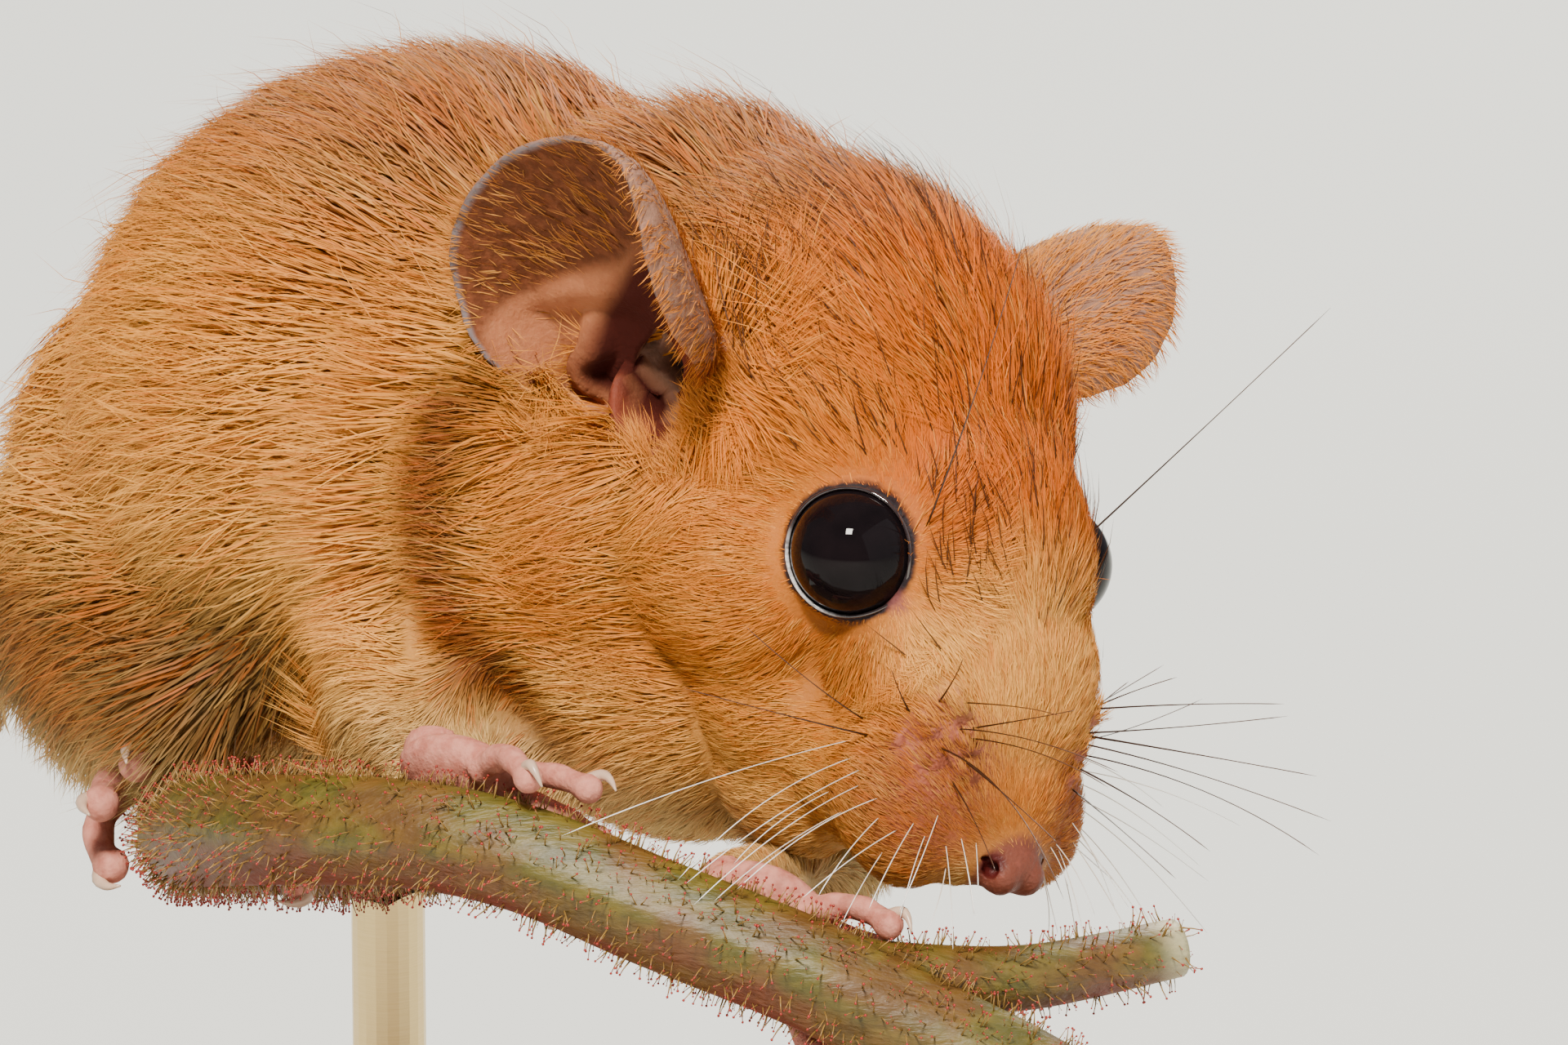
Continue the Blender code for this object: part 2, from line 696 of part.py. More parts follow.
def tail_coat():
    """Core of the tail with locks that lie along it, in rings that overlap."""
    rng = random.Random(11)
    core = tube("tail", TAIL_ROUTE, [reach * TAIL_CORE for reach in TAIL_COAT], sides=2, steps=2)
    locks = []
    for ring_number in range(LOCK_RINGS):
        for k in range(LOCKS_ROUND):
            share = (ring_number + rng.uniform(-0.25, 0.25)) / LOCK_RINGS
            angle = 2 * math.pi * (k + 0.5 * (ring_number % 2) + rng.uniform(-0.12, 0.12)) / LOCKS_ROUND
            locks.append(lock(max(share, 0.0), angle, rng.uniform(-0.25, 0.25), rng.uniform(0.85, 1.1)))
    return combine(core, locks, "UNION", TAIL_SOLVER)


def tail_cutter(share, onward):
    """Box that takes away the tail past a joint, or the tail before it."""
    place, way, up, side = along(TAIL_ROUTE, share)
    keep = way if onward else -way
    middle = place + keep * (GAP / 2 - CUTTER_SIZE / 2)
    turn = keep.to_track_quat("Z", "Y").to_matrix().to_4x4()
    bm = bmesh.new()
    bmesh.ops.create_cube(bm, size=CUTTER_SIZE, matrix=Matrix.Translation(middle) @ turn)
    return object_of(bm, "cutter")


def tail_lengths(around):
    """The tail in three lengths, parted by thin flat cuts."""
    whole = combine(tail_coat(), around, "DIFFERENCE", TAIL_SOLVER)
    names = ("tail_base", "tail_middle", "tail_tip")
    made = []
    for i, name in enumerate(names):
        cutters = []
        if i > 0:
            cutters.append(tail_cutter(TAIL_JOINTS[i - 1], True))
        if i < len(names) - 1:
            cutters.append(tail_cutter(TAIL_JOINTS[i], False))
        made.append(combine(duplicate(whole, name), cutters, "DIFFERENCE", TAIL_SOLVER))
    return made


# Stand
def stand_base():
    bm = bmesh.new()
    bmesh.ops.create_cone(
        bm, cap_ends=True, segments=44, radius1=BASE_R, radius2=BASE_R, depth=BASE_THICK,
        matrix=Matrix.Translation((0, 0, BASE_THICK / 2)),
    )
    base = object_of(bm, "stand_base")
    edge = base.modifiers.new("Eased edge", "BEVEL")
    edge.width = 1.4
    edge.segments = 2
    edge.limit_method = "ANGLE"
    return evaluated_copy(base, "stand_base")


def rod(name, share, around):
    place = along(STEM_ROUTE, share)[0]
    low = BASE_THICK + GAP
    bm = bmesh.new()
    bmesh.ops.create_cone(
        bm, cap_ends=True, segments=20, radius1=ROD_R, radius2=ROD_R, depth=place.z - low,
        matrix=Matrix.Translation((place.x, place.y, (place.z + low) / 2)),
    )
    return combine(object_of(bm, name), around, "DIFFERENCE")


clear_scene()
part = make_collection("Hazel dormouse")
work = make_collection("Work")
coat = material("coat", (0.62, 0.27, 0.08), 0.8)
ear_skin = material("ear", (0.42, 0.22, 0.17), 0.6)
eye_black = material("eye", (0.01, 0.01, 0.012), 0.05)
paw_skin = material("paw", (0.72, 0.42, 0.38), 0.6)
stem_green = material("stem", (0.25, 0.28, 0.08), 0.6)
wood = material("wood", (0.16, 0.09, 0.05), 0.5)
brass = material("brass", (0.55, 0.42, 0.2), 0.35, metallic=1.0)

head, neck, torso = head_and_trunk()
plain_head = swollen(head, GAP, "around_head")
head = face_details(head)
wide_neck = swollen(neck, GAP, "around_neck")
wide_torso = swollen(torso, GAP, "around_torso")
perch = stem()
wide_perch = swollen(perch, GAP, "around_perch")
trunk = [plain_head, wide_neck, wide_torso, wide_perch]

nodes = {"head": (head, coat), "neck": (neck, coat), "torso": (torso, coat)}
for side, word in ((-1, "right"), (1, "left")):
    nodes["ear_" + word] = (ear(side, "ear", [plain_head, wide_neck]), ear_skin)
    nodes["eye_" + word] = (eye(side, "eye"), eye_black)
    grip = RIGHT_HAND if side < 0 else LEFT_HAND
    paw = gripping_foot("paw", grip, HAND_PAD, HAND_TOE_R, [wide_perch, plain_head])
    nodes["forepaw_" + word] = (paw, paw_skin)
    bones = RIGHT_FOREARM if side < 0 else LEFT_FOREARM
    limits = [*trunk, pad_ball(grip, HAND_PAD, GAP * 1.2), toe_room(grip, HAND_PAD, HAND_TOE_R)]
    nodes["foreleg_" + word] = (leg("leg", side, FORELEG_BALLS, bones, wrist(grip, HAND_PAD), limits), coat)
    grip = RIGHT_FOOT if side < 0 else LEFT_FOOT
    foot = gripping_foot("foot", grip, FOOT_PAD, FOOT_TOE_R, [wide_perch, wide_torso])
    nodes["hindfoot_" + word] = (foot, paw_skin)
    bones = RIGHT_SHANK if side < 0 else LEFT_SHANK
    limits = [*trunk, pad_ball(grip, FOOT_PAD, GAP * 1.2), toe_room(grip, FOOT_PAD, FOOT_TOE_R)]
    nodes["hindleg_" + word] = (leg("leg", side, THIGH_BALLS, bones, wrist(grip, FOOT_PAD), limits), coat)
for piece in tail_lengths([wide_torso]):
    nodes[piece.name.split(".")[0]] = (piece, coat)
nodes["perch_stem"] = (perch, stem_green)
nodes["stand_base"] = (stand_base(), wood)
for i, share in enumerate(ROD_AT):
    nodes[f"stand_rod_{i + 1}"] = (rod("rod", share, [wide_perch]), brass)

kept = [obj for obj, look in nodes.values()]
for obj in list(work.objects):
    if obj not in kept:
        bpy.data.objects.remove(obj, do_unlink=True)
for name, (obj, look) in nodes.items():
    finish(obj, name, look)
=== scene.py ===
import math

import bmesh
import bpy
import numpy as np
from mathutils import Matrix, Vector
from mathutils.bvhtree import BVHTree
from mathutils.kdtree import KDTree


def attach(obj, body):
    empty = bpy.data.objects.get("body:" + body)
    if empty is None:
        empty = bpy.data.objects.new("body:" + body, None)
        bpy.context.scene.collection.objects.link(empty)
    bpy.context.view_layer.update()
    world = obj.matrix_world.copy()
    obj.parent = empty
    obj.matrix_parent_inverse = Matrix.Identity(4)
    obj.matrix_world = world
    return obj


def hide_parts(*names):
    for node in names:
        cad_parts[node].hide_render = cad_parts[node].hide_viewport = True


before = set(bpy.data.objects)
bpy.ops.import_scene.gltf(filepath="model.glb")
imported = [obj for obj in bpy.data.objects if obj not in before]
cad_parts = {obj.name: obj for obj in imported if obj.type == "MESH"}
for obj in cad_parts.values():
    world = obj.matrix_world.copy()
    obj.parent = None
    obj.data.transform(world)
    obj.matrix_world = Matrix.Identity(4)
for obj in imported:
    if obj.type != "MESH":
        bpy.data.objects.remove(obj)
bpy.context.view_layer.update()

# Everything is drawn in millimetres in the solids' own frame, and set down in metres
MM = 0.001


def axes(at, heading, pitch=0.0, roll=0.0):
    """Matrix of a frame with x forward, y to the animal's left and z up."""
    turn = (
        Matrix.Rotation(math.radians(heading), 4, "Z")
        @ Matrix.Rotation(math.radians(pitch), 4, "Y")
        @ Matrix.Rotation(math.radians(roll), 4, "X")
    )
    return Matrix.Translation(at) @ turn


HEAD = axes((16.1, -14.9, 53.9), -57.5, 40.0, -16.5)
BODY = axes((-1.1, 1.2, 54.0), -48.0)

# Eyes, in the head's frame
EYE_APART = 10.0
EYE_R = 2.35
EYE_LOOKS = (0.35, 0.88, 0.32)
# Rings of the lids: angle from the way that the eye looks, distance from its middle, radius
LID_RINGS = ((74.5, 2.42, 0.14), (82.0, 2.42, 0.17), (92.0, 2.38, 0.26))
# Where the film of moisture lies between them and the ball, and its thickness
LIDS_OPEN = 71.0
FILM_AWAY = 0.1
FILM_R = 0.075

# Muzzle, in the head's frame
MUZZLE_PITCH = 22.0
NOSE_AT = (10.7, 0.0, -4.3)
NOSE_PAD_AT = (11.3, 0.0, -4.4)
# The nostril's middle, and its opening and the slit behind it: way from there, radii and turn
NOSTRIL_AT = (11.05, 1.25, -4.1)
NOSTRIL = (((0.1, 0, -0.05), (0.46, 0.34, 0.34), 60), ((-0.3, 0.14, 0.12), (0.42, 0.26, 0.13), 20))
PAD_AT = (7.6, 3.6, -1.9)
LOW_PAD_AT = (8.8, 3.8, -3.9)
# Short pale hairs beside the nose, and the painted shade below the eye
NOSE_HAIRS_AT = (11.6, 0.9, -4.9)
SHADE_BELOW_EYE = (2.5, 5.0, -2.4)
# Wings of the nose
NOSE_WING_AT = (11.25, 0.62, -4.35)
NOSE_WING = (0.72, 0.7, 0.78)
# Cleft of the lip: forward and up
CLEFT = ((12.3, -4.3), (12.1, -5.2), (11.3, -6.5))
LIP_LINE = ((11.2, 0.0, -6.2), (9.6, 1.6, -7.2), (7.4, 2.8, -7.7), (5.0, 3.4, -7.4))

# Soft forms out to the tips of the coat: (centre, radii, pitch). Those off the middle are made on both sides
HEAD_FORMS = (
    ((-8.5, 0, -0.6), (10.6, 9.2, 8.9), 0),
    ((-1.2, 0, -0.2), (7.2, 6.0, 6.3), 0),
    ((3.0, 0, -1.8), (6.4, 5.6, 4.9), MUZZLE_PITCH),
    ((5.4, 0, -3.2), (5.7, 4.7, 3.5), MUZZLE_PITCH),
    (NOSE_AT, (1.2, 1.5, 1.15), MUZZLE_PITCH),
    ((3.2, 0, -6.1), (5.9, 3.8, 2.6), MUZZLE_PITCH),
    ((-6.5, 0, -7.2), (8.0, 7.0, 4.8), 0),
    ((6.9, 2.9, -4.7), (3.9, 2.8, 2.6), MUZZLE_PITCH),
    ((8.9, 1.3, -4.6), (2.2, 1.8, 1.9), MUZZLE_PITCH),
    ((-5.0, 5.0, -4.8), (7.0, 4.7, 5.4), 0),
    ((-0.9, 3.5, 2.0), (3.5, 2.0, 1.8), 0),
    ((3.6, 2.2, -6.0), (5.0, 3.2, 3.0), 0),
    ((-0.5, 3.2, -7.2), (5.5, 3.8, 3.8), 0),
    ((1.5, 2.0, -8.8), (5.0, 3.6, 3.6), 0),
)
NAPE_FORMS = (
    ((-15.5, 0, -3.5), (8.5, 9.2, 8.4), 0),
    ((-12.0, 0, -9.0), (8.5, 8.8, 6.0), 0),
)
BODY_FORMS = (
    ((11.0, 1.0, 0.0), (9.0, 11.6, 10.5), 0),
    ((12.0, 0.0, -5.5), (8.5, 9.5, 7.5), 0),
    ((5.0, 0.5, 0.0), (13.0, 14.2, 13.8), 0),
    ((-2.6, 0, 1.2), (15.6, 15.8, 15.2), 0),
    ((-10.5, 0, -2.5), (11.5, 14.2, 13.0), 0),
    ((7.4, 10.6, -6.4), (5.2, 3.7, 5.6), 0),
    ((-8.0, 10.8, -5.6), (9.6, 5.6, 8.6), 0),
    ((-3.0, 12.2, -7.6), (4.6, 3.8, 4.6), 0),
)

# Right and left forearm and shank: (place in the body's frame, radius there), down to the wrist or heel
LIMBS = (
    (((7.2, -11.5, -8.0), 3.2), ((8.8, -10.8, -10.4), 2.4)),
    (((11.0, 8.8, -8.5), 3.1), ((16.6, 3.4, -13.0), 2.1)),
    (((-2.0, -12.0, -9.0), 3.0), ((-7.0, -10.5, -12.0), 2.6)),
    (((-3.0, 11.5, -9.5), 3.2), ((-11.0, 8.5, -13.5), 2.5)),
)
WRIST_R = 1.3

# Fold between cheek and shoulder, in the body's frame: x and z of its front, its curve, width and depth
FOLD_AT = (9.2, 2.5)
FOLD_CURVE = 0.045
FOLD_WIDE = 2.3
FOLD_DEEP = 1.1

# Way from the eye's middle to the front corner of the lids, and that corner's place in the head's frame
LID_CORNER = Vector((1, 0, 0.25))
TEAR_CORNER = (2.75, EYE_APART / 2 - 0.1, 0.45)

# Bumps that the whiskers grow from, in the head's frame, and their radii
PAD_BUMP = (0.5, 0.4, 0.4)
PAD_BUMPS = (
    (6.8, 3.4, -0.3),
    (7.8, 2.8, -1.1),
    (6.8, 3.9, -1.5),
    (8.4, 2.5, -1.9),
    (7.6, 3.6, -2.2),
    (6.4, 4.6, -2.7),
    (8.7, 3.2, -3.1),
    (7.6, 4.4, -3.4),
    (9.6, 2.9, -4.0),
    (8.6, 4.1, -4.4),
)

# Ears, in the head's frame: canal, way to the top, and the way the cup faces
EAR_ROOT = (-8.8, 8.3, -3.0)
EAR_TOP = (-14.0, 13.4, 4.8)
EAR_FACES = (0.49, 0.84, -0.22)
EAR_SUNK = 2.2
# Where the lip behind the canal lies, as a share of the way out, and how far it moves a degree
EAR_LIP = (0.3, 0.007)
# Angle from the top towards the rear, reach of the rim, its height over the canal, and its curl
EAR_RIM = (
    (-135, 1.4, -0.5, 0.0),
    (-95, 1.6, -1.3, 0.1),
    (-66, 2.1, -1.4, 0.3),
    (-48, 4.6, 1.2, 1.2),
    (-28, 8.3, 3.5, 1.3),
    (-9, 11.9, 2.0, 0.9),
    (10, 11.4, 0.9, 0.3),
    (30, 10.4, 0.5, 0.1),
    (54, 9.0, 0.5, 0.0),
    (77, 6.2, 0.9, 0.2),
    (105, 3.5, -0.2, 0.1),
    (140, 2.0, -0.3, 0.0),
)
# Where the smooth floor ends and the hairy flap begins: angle, and share of the way out
SHELF = ((-10, 8, 30, 54, 70), (0.22, 0.26, 0.36, 0.56, 0.9))
# How fast the cup rises towards its rim at the front and elsewhere, and the angles between
EAR_RISES = (1.0, 1.6)
EAR_RISE_TURN = (-5.0, 15.0)
# Size of the right and the left ear: the left one is turned further back
EAR_SIZES = {-1: 1.0, 1: 0.88}
# Pit that the canal opens from: middle, radii and pitch
PIT_AT = (-9.5, 8.3, -1.8)
PIT_SIZE = (2.7, 3.2, 1.9)
PIT_PITCH = 36.0
PIT_FRONT = (-7.3, 8.6, -1.9)
# Angles of the rim between which the cup is cut from the skin of the head
ROOM_ANGLES = (-22, 112)
EAR_COLUMNS = 96
EAR_ROWS = 44
# Half of the ear's thickness from the canal out
EAR_HALF = ((0.0, 0.3, 0.9, 1.0), (0.5, 0.26, 0.13, 0.08))

# Perch
STEM_R = 2.0
GAP = 0.3
STEM_ROUTE = (
    (22.4, -26.4, 35.0),
    (18.6, -25.9, 37.3),
    (14.1, -25.2, 39.5),
    (10.6, -24.7, 41.2),
    (5.3, -23.3, 43.0),
    (0.9, -21.9, 44.5),
    (-3.2, -20.0, 44.9),
    (-8.2, -16.2, 44.0),
    (-11.5, -9.5, 42.0),
    (-12.5, -1.0, 39.4),
    (-11.0, 8.0, 36.6),
    (-8.0, 17.0, 33.9),
    (-5.0, 25.5, 31.2),
)
SHOOT_ROUTE = ((11.6, -24.9, 40.9), (14.8, -23.9, 40.6), (19.0, -22.2, 40.2), (24.2, -19.6, 40.5))
SHOOT_RADII = (1.7, 1.3, 1.18, 1.08)

# Right and left hand and foot: share of the stem's length, side of it in degrees from its top, the turn
# and reach of each toe, half measures of the pad, and radius of a toe
HAND = ((2.6, 1.9, 1.0), 0.52)
FOOT = ((4.6, 2.3, 1.1), 0.66)
PAWS = (
    (0.352, 58, ((-62, 3.4), (-14, 4.6), (36, 4.4), (96, 3.0)), *HAND),
    (0.197, 84, ((-50, 3.4), (-8, 4.4), (40, 4.4), (98, 3.0)), *HAND),
    (0.674, -12, ((-104, 3.0), (-56, 5.0), (-12, 5.8), (36, 5.2), (92, 3.2)), *FOOT),
    (0.83, 14, ((-92, 3.2), (-36, 5.2), (12, 5.8), (56, 5.0), (104, 3.0)), *FOOT),
)
# A toe's thickness from its root to its tip, and a claw's share of the toe and height over the stem
KNUCKLES = (1.25, 1.0, 1.08, 0.9, 0.98, 0.85, 1.05)
CLAW_ARCH = ((0.97, 0.35), (1.08, 0.6), (1.18, 0.42), (1.27, 0.0))

# Tail: its route, and the reach of its coat along it
TAIL_ROUTE = (
    (-15.0, 15.5, 48.5),
    (-21.0, 23.5, 43.0),
    (-27.0, 29.0, 35.5),
    (-33.5, 32.0, 28.5),
    (-41.0, 33.0, 23.8),
    (-49.5, 32.5, 21.6),
    (-57.5, 31.5, 21.8),
)
TAIL_COAT = (3.6, 4.0, 4.3, 4.6, 4.8, 4.5, 3.1)
TAIL_SKIN = 0.42
TAIL_STEPS = 160

TAIL_START = axes((-15.5, 16.5, 47.5), 125, 30)

# Tufts at the root of an ear, in the head's frame: middle, spread, way, length, how many
TUFTS = (
    ((-6.6, 8.9, -1.5), (0.5, 0.4, 0.8), (-0.6, 0.42, 0.08), 1.8, 620),
    ((-7.2, 8.5, 1.0), (0.4, 0.3, 0.6), (-0.7, 0.6, 0.3), 1.6, 420),
    ((-6.6, 9.0, -3.4), (0.6, 0.4, 0.6), (-0.55, 0.42, 0.2), 1.7, 460),
    ((-12.1, 9.2, -7.0), (0.8, 0.5, 0.5), (0.76, 0.3, 0.63), 3.4, 420),
    ((-13.4, 9.2, -7.3), (0.7, 0.5, 0.4), (0.76, 0.3, 0.55), 2.8, 260),
)

# Camera: what it looks at, its height angle, its distance, and pixels a millimetre at the target
LOOKS_AT = (10.0, -18.0, 56.0)
CAMERA_UP = 14.0
CAMERA_AWAY = 350.0
IMAGE_WIDE = 1920
PIXELS_PER_MM = 34.0

# Strands of hair, and the size of the patch that each one has on the unwrap
COAT_STRANDS = 274000
TAIL_STRANDS = 20000
EAR_STRANDS = 15000
PATCH = 0.003
# Corners of a hair that are drawn
WHOLE_HAIR = (0, 1, 2, 3, 4, 5, 6)
SHORT_HAIR = (0, 1, 4, 5, 6)


# Small tools for shapes
def linked(name, mesh):
    made = bpy.data.objects.new(name, mesh)
    bpy.context.scene.collection.objects.link(made)
    return made


def object_of(bm, name):
    mesh = bpy.data.meshes.new(name)
    bm.to_mesh(mesh)
    bm.free()
    return linked(name, mesh)


def sided(point, side):
    """A point or way given for the left, on its side: -1 is the right, 1 the left."""
    return Vector((point[0], side * point[1], point[2]))


def beside(point, side):
    """Place of a point of the head on one side."""
    return HEAD @ sided(point, side)


def head_way(way, side=1):
    """A way given in the head's frame, on one side."""
    return HEAD.to_3x3() @ sided(way, side)


def around(up, side, angle):
    """Way from a middle line, at an angle from up towards the side."""
    return up * math.cos(angle) + side * math.sin(angle)


def write_values(mesh, name, values):
    """Writes an attribute of the mesh's points, which a material reads."""
    values = np.array(values, np.float32)
    mesh.attributes.new(name, "FLOAT", "POINT").data.foreach_set("value", values)


def taken(obj):
    """The object's mesh for more work; the object is removed."""
    bm = bmesh.new()
    bm.from_mesh(obj.data)
    bpy.data.objects.remove(obj, do_unlink=True)
    return bm


def close_sheets(bm, one, two):
    """Faces over two like grids of points, and round their border."""
    columns, rows = len(one), len(one[0])
    for i in range(columns - 1):
        for k in range(rows - 1):
            for sheet in (one, two):
                bm.faces.new((sheet[i][k], sheet[i + 1][k], sheet[i + 1][k + 1], sheet[i][k + 1]))
    border = [(i, 0) for i in range(columns)]
    border += [(columns - 1, k) for k in range(1, rows)]
    border += [(i, rows - 1) for i in range(columns - 2, -1, -1)]
    border += [(0, k) for k in range(rows - 2, 0, -1)]
    for (i, k), (m, n) in zip(border, border[1:] + border[:1]):
        bm.faces.new((one[i][k], one[m][n], two[m][n], two[i][k]))
    bmesh.ops.recalc_face_normals(bm, faces=bm.faces)


def evaluated_mesh(obj):
    """Plain mesh of what the object's modifiers make; the object is removed."""
    graph = bpy.context.evaluated_depsgraph_get()
    graph.update()
    mesh = bpy.data.meshes.new_from_object(obj.evaluated_get(graph))
    bpy.data.objects.remove(obj, do_unlink=True)
    return mesh


def evaluated_copy(obj, name, weld=0.0005):
    """Plain object of what the modifiers make, with its doubles welded."""
    mesh = evaluated_mesh(obj)
    bm = bmesh.new()
    bm.from_mesh(mesh)
    bmesh.ops.remove_doubles(bm, verts=bm.verts, dist=weld)
    bmesh.ops.recalc_face_normals(bm, faces=bm.faces)
    bm.to_mesh(mesh)
    bm.free()
    return linked(name, mesh)


def add_ball(bm, place, centre, radii, pitch=0.0, yaw=0.0, fine=4):
    turn = Matrix.Rotation(math.radians(yaw), 4, "Z") @ Matrix.Rotation(math.radians(pitch), 4, "Y")
    matrix = place @ Matrix.Translation(centre) @ turn @ Matrix.Diagonal((*radii, 1.0))
    bmesh.ops.create_icosphere(bm, subdivisions=fine, radius=1.0, matrix=matrix)


def add_forms(bm, place, forms):
    """Soft forms, the paired ones on both sides."""
    for centre, radii, pitch in forms:
        for side in (-1, 1) if centre[1] > 1.1 else (1,):
            add_ball(bm, place, sided(centre, side), radii, pitch=pitch)


def catmull(before, start, end, after, t):
    return 0.5 * (
        2 * start
        + (end - before) * t
        + (2 * before - 5 * start + 4 * end - after) * t * t
        + (3 * start - before - 3 * end + after) * t * t * t
    )


def smooth_path(points, radii, steps):
    """(place, radius) along a smooth curve through the points."""
    places = [Vector(p) for p in points]
    path = []
    last = len(places) - 1
    for i in range(last):
        four = [places[max(i - 1, 0)], places[i], places[i + 1], places[min(i + 2, last)]]
        width = [radii[max(i - 1, 0)], radii[i], radii[i + 1], radii[min(i + 2, last)]]
        for k in range(steps):
            t = k / steps
            path.append((catmull(*four, t), max(catmull(*width, t), 0.02)))
    path.append((places[-1], radii[-1]))
    return path


def join_rings(bm, rings, closed=False):
    """Faces between rings of points, and over both ends of an open row of rings."""
    pairs = list(zip(rings, rings[1:])) + ([(rings[-1], rings[0])] if closed else [])
    made = []
    for one, two in pairs:
        for k in range(len(one)):
            made.append(bm.faces.new((one[k - 1], one[k], two[k], two[k - 1])))
    if not closed:
        made += [bm.faces.new(rings[0]), bm.faces.new(reversed(rings[-1]))]
    bmesh.ops.recalc_face_normals(bm, faces=made)


def add_tube(bm, points, radii, sides=8, steps=4, closed=False):
    """Round tapering tube, added to the mesh."""
    path = [(Vector(p), r) for p, r in zip(points, radii)] if closed else smooth_path(points, radii, steps)
    rings = []
    up = None
    count = len(path)
    for i, (place, radius) in enumerate(path):
        after = path[(i + 1) % count][0] if closed else path[min(i + 1, count - 1)][0]
        before = path[i - 1][0] if closed or i else place
        way = (after - before).normalized()
        if up is None:
            up = way.orthogonal().normalized()
        up = (up - way * up.dot(way)).normalized()
        side = way.cross(up)
        turns = [2 * math.pi * k / sides for k in range(sides)]
        rings.append([bm.verts.new(place + around(up, side, a) * radius) for a in turns])
    join_rings(bm, rings, closed)


def fuse(bm, name, voxel, rounds):
    """One closed soft form from overlapping balls."""
    obj = object_of(bm, name)
    remesh = obj.modifiers.new("Fuse", "REMESH")
    remesh.mode = "VOXEL"
    remesh.voxel_size = voxel
    smooth = obj.modifiers.new("Soften", "SMOOTH")
    smooth.factor = 0.5
    smooth.iterations = rounds
    return evaluated_copy(obj, name)


def combine(obj, others, operation):
    """Boolean of the object with the others, which are then removed."""
    helpers = bpy.data.collections.new("Helpers")
    bpy.context.scene.collection.children.link(helpers)
    for other in others:
        helpers.objects.link(other)
    mod = obj.modifiers.new(operation.title(), "BOOLEAN")
    mod.operation = operation
    mod.solver = "MANIFOLD"
    mod.operand_type = "COLLECTION"
    mod.collection = helpers
    made = evaluated_copy(obj, obj.name, weld=0.0)
    for other in others:
        bpy.data.objects.remove(other, do_unlink=True)
    bpy.data.collections.remove(helpers)
    return made


def set_down(obj, name, look, nodes=()):
    """Scales a finished piece to metres and hands it over, with its material, body and solids."""
    obj.name = name
    obj.data.name = name
    obj.data.materials.clear()
    obj.data.materials.append(look)
    obj.data.transform(Matrix.Scale(MM, 4))
    obj.data.shade_smooth()
    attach(obj, "root")
    if nodes:
        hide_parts(*nodes)
    return obj


# Perch and feet
def along(route, share):
    """Place, way on, up and side at a share of the length of a smooth route."""
    path = [place for place, radius in smooth_path(route, [1.0] * len(route), 12)]
    lengths = [(b - a).length for a, b in zip(path, path[1:])]
    left = sum(lengths) * share
    for i, length in enumerate(lengths):
        if left <= length:
            break
        left -= length
    way = (path[i + 1] - path[i]).normalized()
    place = path[i] + way * left
    side = way.cross(Vector((0, 0, 1))).normalized()
    up = side.cross(way).normalized()
    return place, way, up, side


def grip_point(share, angle, radius, shift):
    """Place round the stem: the angle runs from its top towards the side, shift along it."""
    place, way, up, side = along(STEM_ROUTE, share)
    return place + way * shift + around(up, side, math.radians(angle)) * radius


WRISTS = [
    grip_point(share, lean, STEM_R + GAP + pad[2] * 1.7, pad[0] * 0.75)
    for share, lean, toes, pad, toe_r in PAWS
]


def paw(share, lean, toes, pad, toe_r, wrist, claws):
    """Paw round the stem, with knuckles, toe pads and palm pads. Its claws go into a mesh of their own."""
    place, way, up, side = along(STEM_ROUTE, share)
    out = around(up, side, math.radians(lean))
    turn = Matrix((way, out.cross(way), out)).transposed().to_4x4()
    clear = STEM_R + GAP * 0.5
    flesh = bmesh.new()
    add_ball(flesh, Matrix.Translation(place + out * (clear + pad[2] * 0.9)) @ turn, (0, 0, 0), pad)
    heel = grip_point(share, lean, clear + pad[2] * 1.3, pad[0] * 0.6)
    add_tube(flesh, [heel, wrist + out * 0.4], [pad[2] * 1.1] * 2, sides=12)
    for turned, reach in toes:

        def over_stem(t, lift):
            angle = lean + turned * (0.3 + 0.7 * t)
            return grip_point(share, angle, clear + toe_r + lift, -pad[0] * 0.5 - reach * t)

        points = [over_stem(k / 6, 0.5 * math.sin(math.pi * (k / 6))) for k in range(7)]
        add_tube(flesh, points, [toe_r * r for r in KNUCKLES], sides=12, steps=3)
        add_ball(flesh, Matrix.Translation(points[-1]), (0, 0, 0), [toe_r * 1.15] * 3, fine=2)
        claw = [over_stem(t, lift) for t, lift in CLAW_ARCH]
        add_tube(claws, claw, [toe_r * 0.5, toe_r * 0.42, toe_r * 0.26, 0.04], sides=8, steps=3)
    return fuse(flesh, "paw", 0.17, 3)


# The coat's own measures
def vertex_arrays(mesh):
    """Places and normals of a mesh's points."""
    places = np.empty(len(mesh.vertices) * 3)
    mesh.vertices.foreach_get("co", places)
    normals = np.empty(len(mesh.vertices) * 3, np.float32)
    mesh.vertices.foreach_get("normal", normals)
    return places.reshape(-1, 3), normals.reshape(-1, 3).astype(float)


def triangle_arrays(mesh):
    """Triangles of a mesh as corner places and corner normals."""
    mesh.calc_loop_triangles()
    corners = np.empty(len(mesh.loop_triangles) * 3, np.int32)
    mesh.loop_triangles.foreach_get("vertices", corners)
    corners = corners.reshape(-1, 3)
    places, normals = vertex_arrays(mesh)
    return places[corners], normals[corners]


def unit(vectors):
    return vectors / np.maximum(np.linalg.norm(vectors, axis=-1, keepdims=True), 1e-9)


def flattened(ways, normals):
    """Unit ways, turned to lie along the skin."""
    return unit(ways - normals * (ways * normals).sum(axis=1, keepdims=True))


def tree_of(places):
    """Tree that finds the nearest of the places: the place, its number and its distance."""
    tree = KDTree(len(places))
    for i, place in enumerate(places):
        tree.insert(place, i)
    tree.balance()
    return tree


def within(places, matrix):
    """The places in the coordinates of a frame."""
    inverse = np.array(matrix.inverted())
    return places @ inverse[:3, :3].T + inverse[:3, 3]


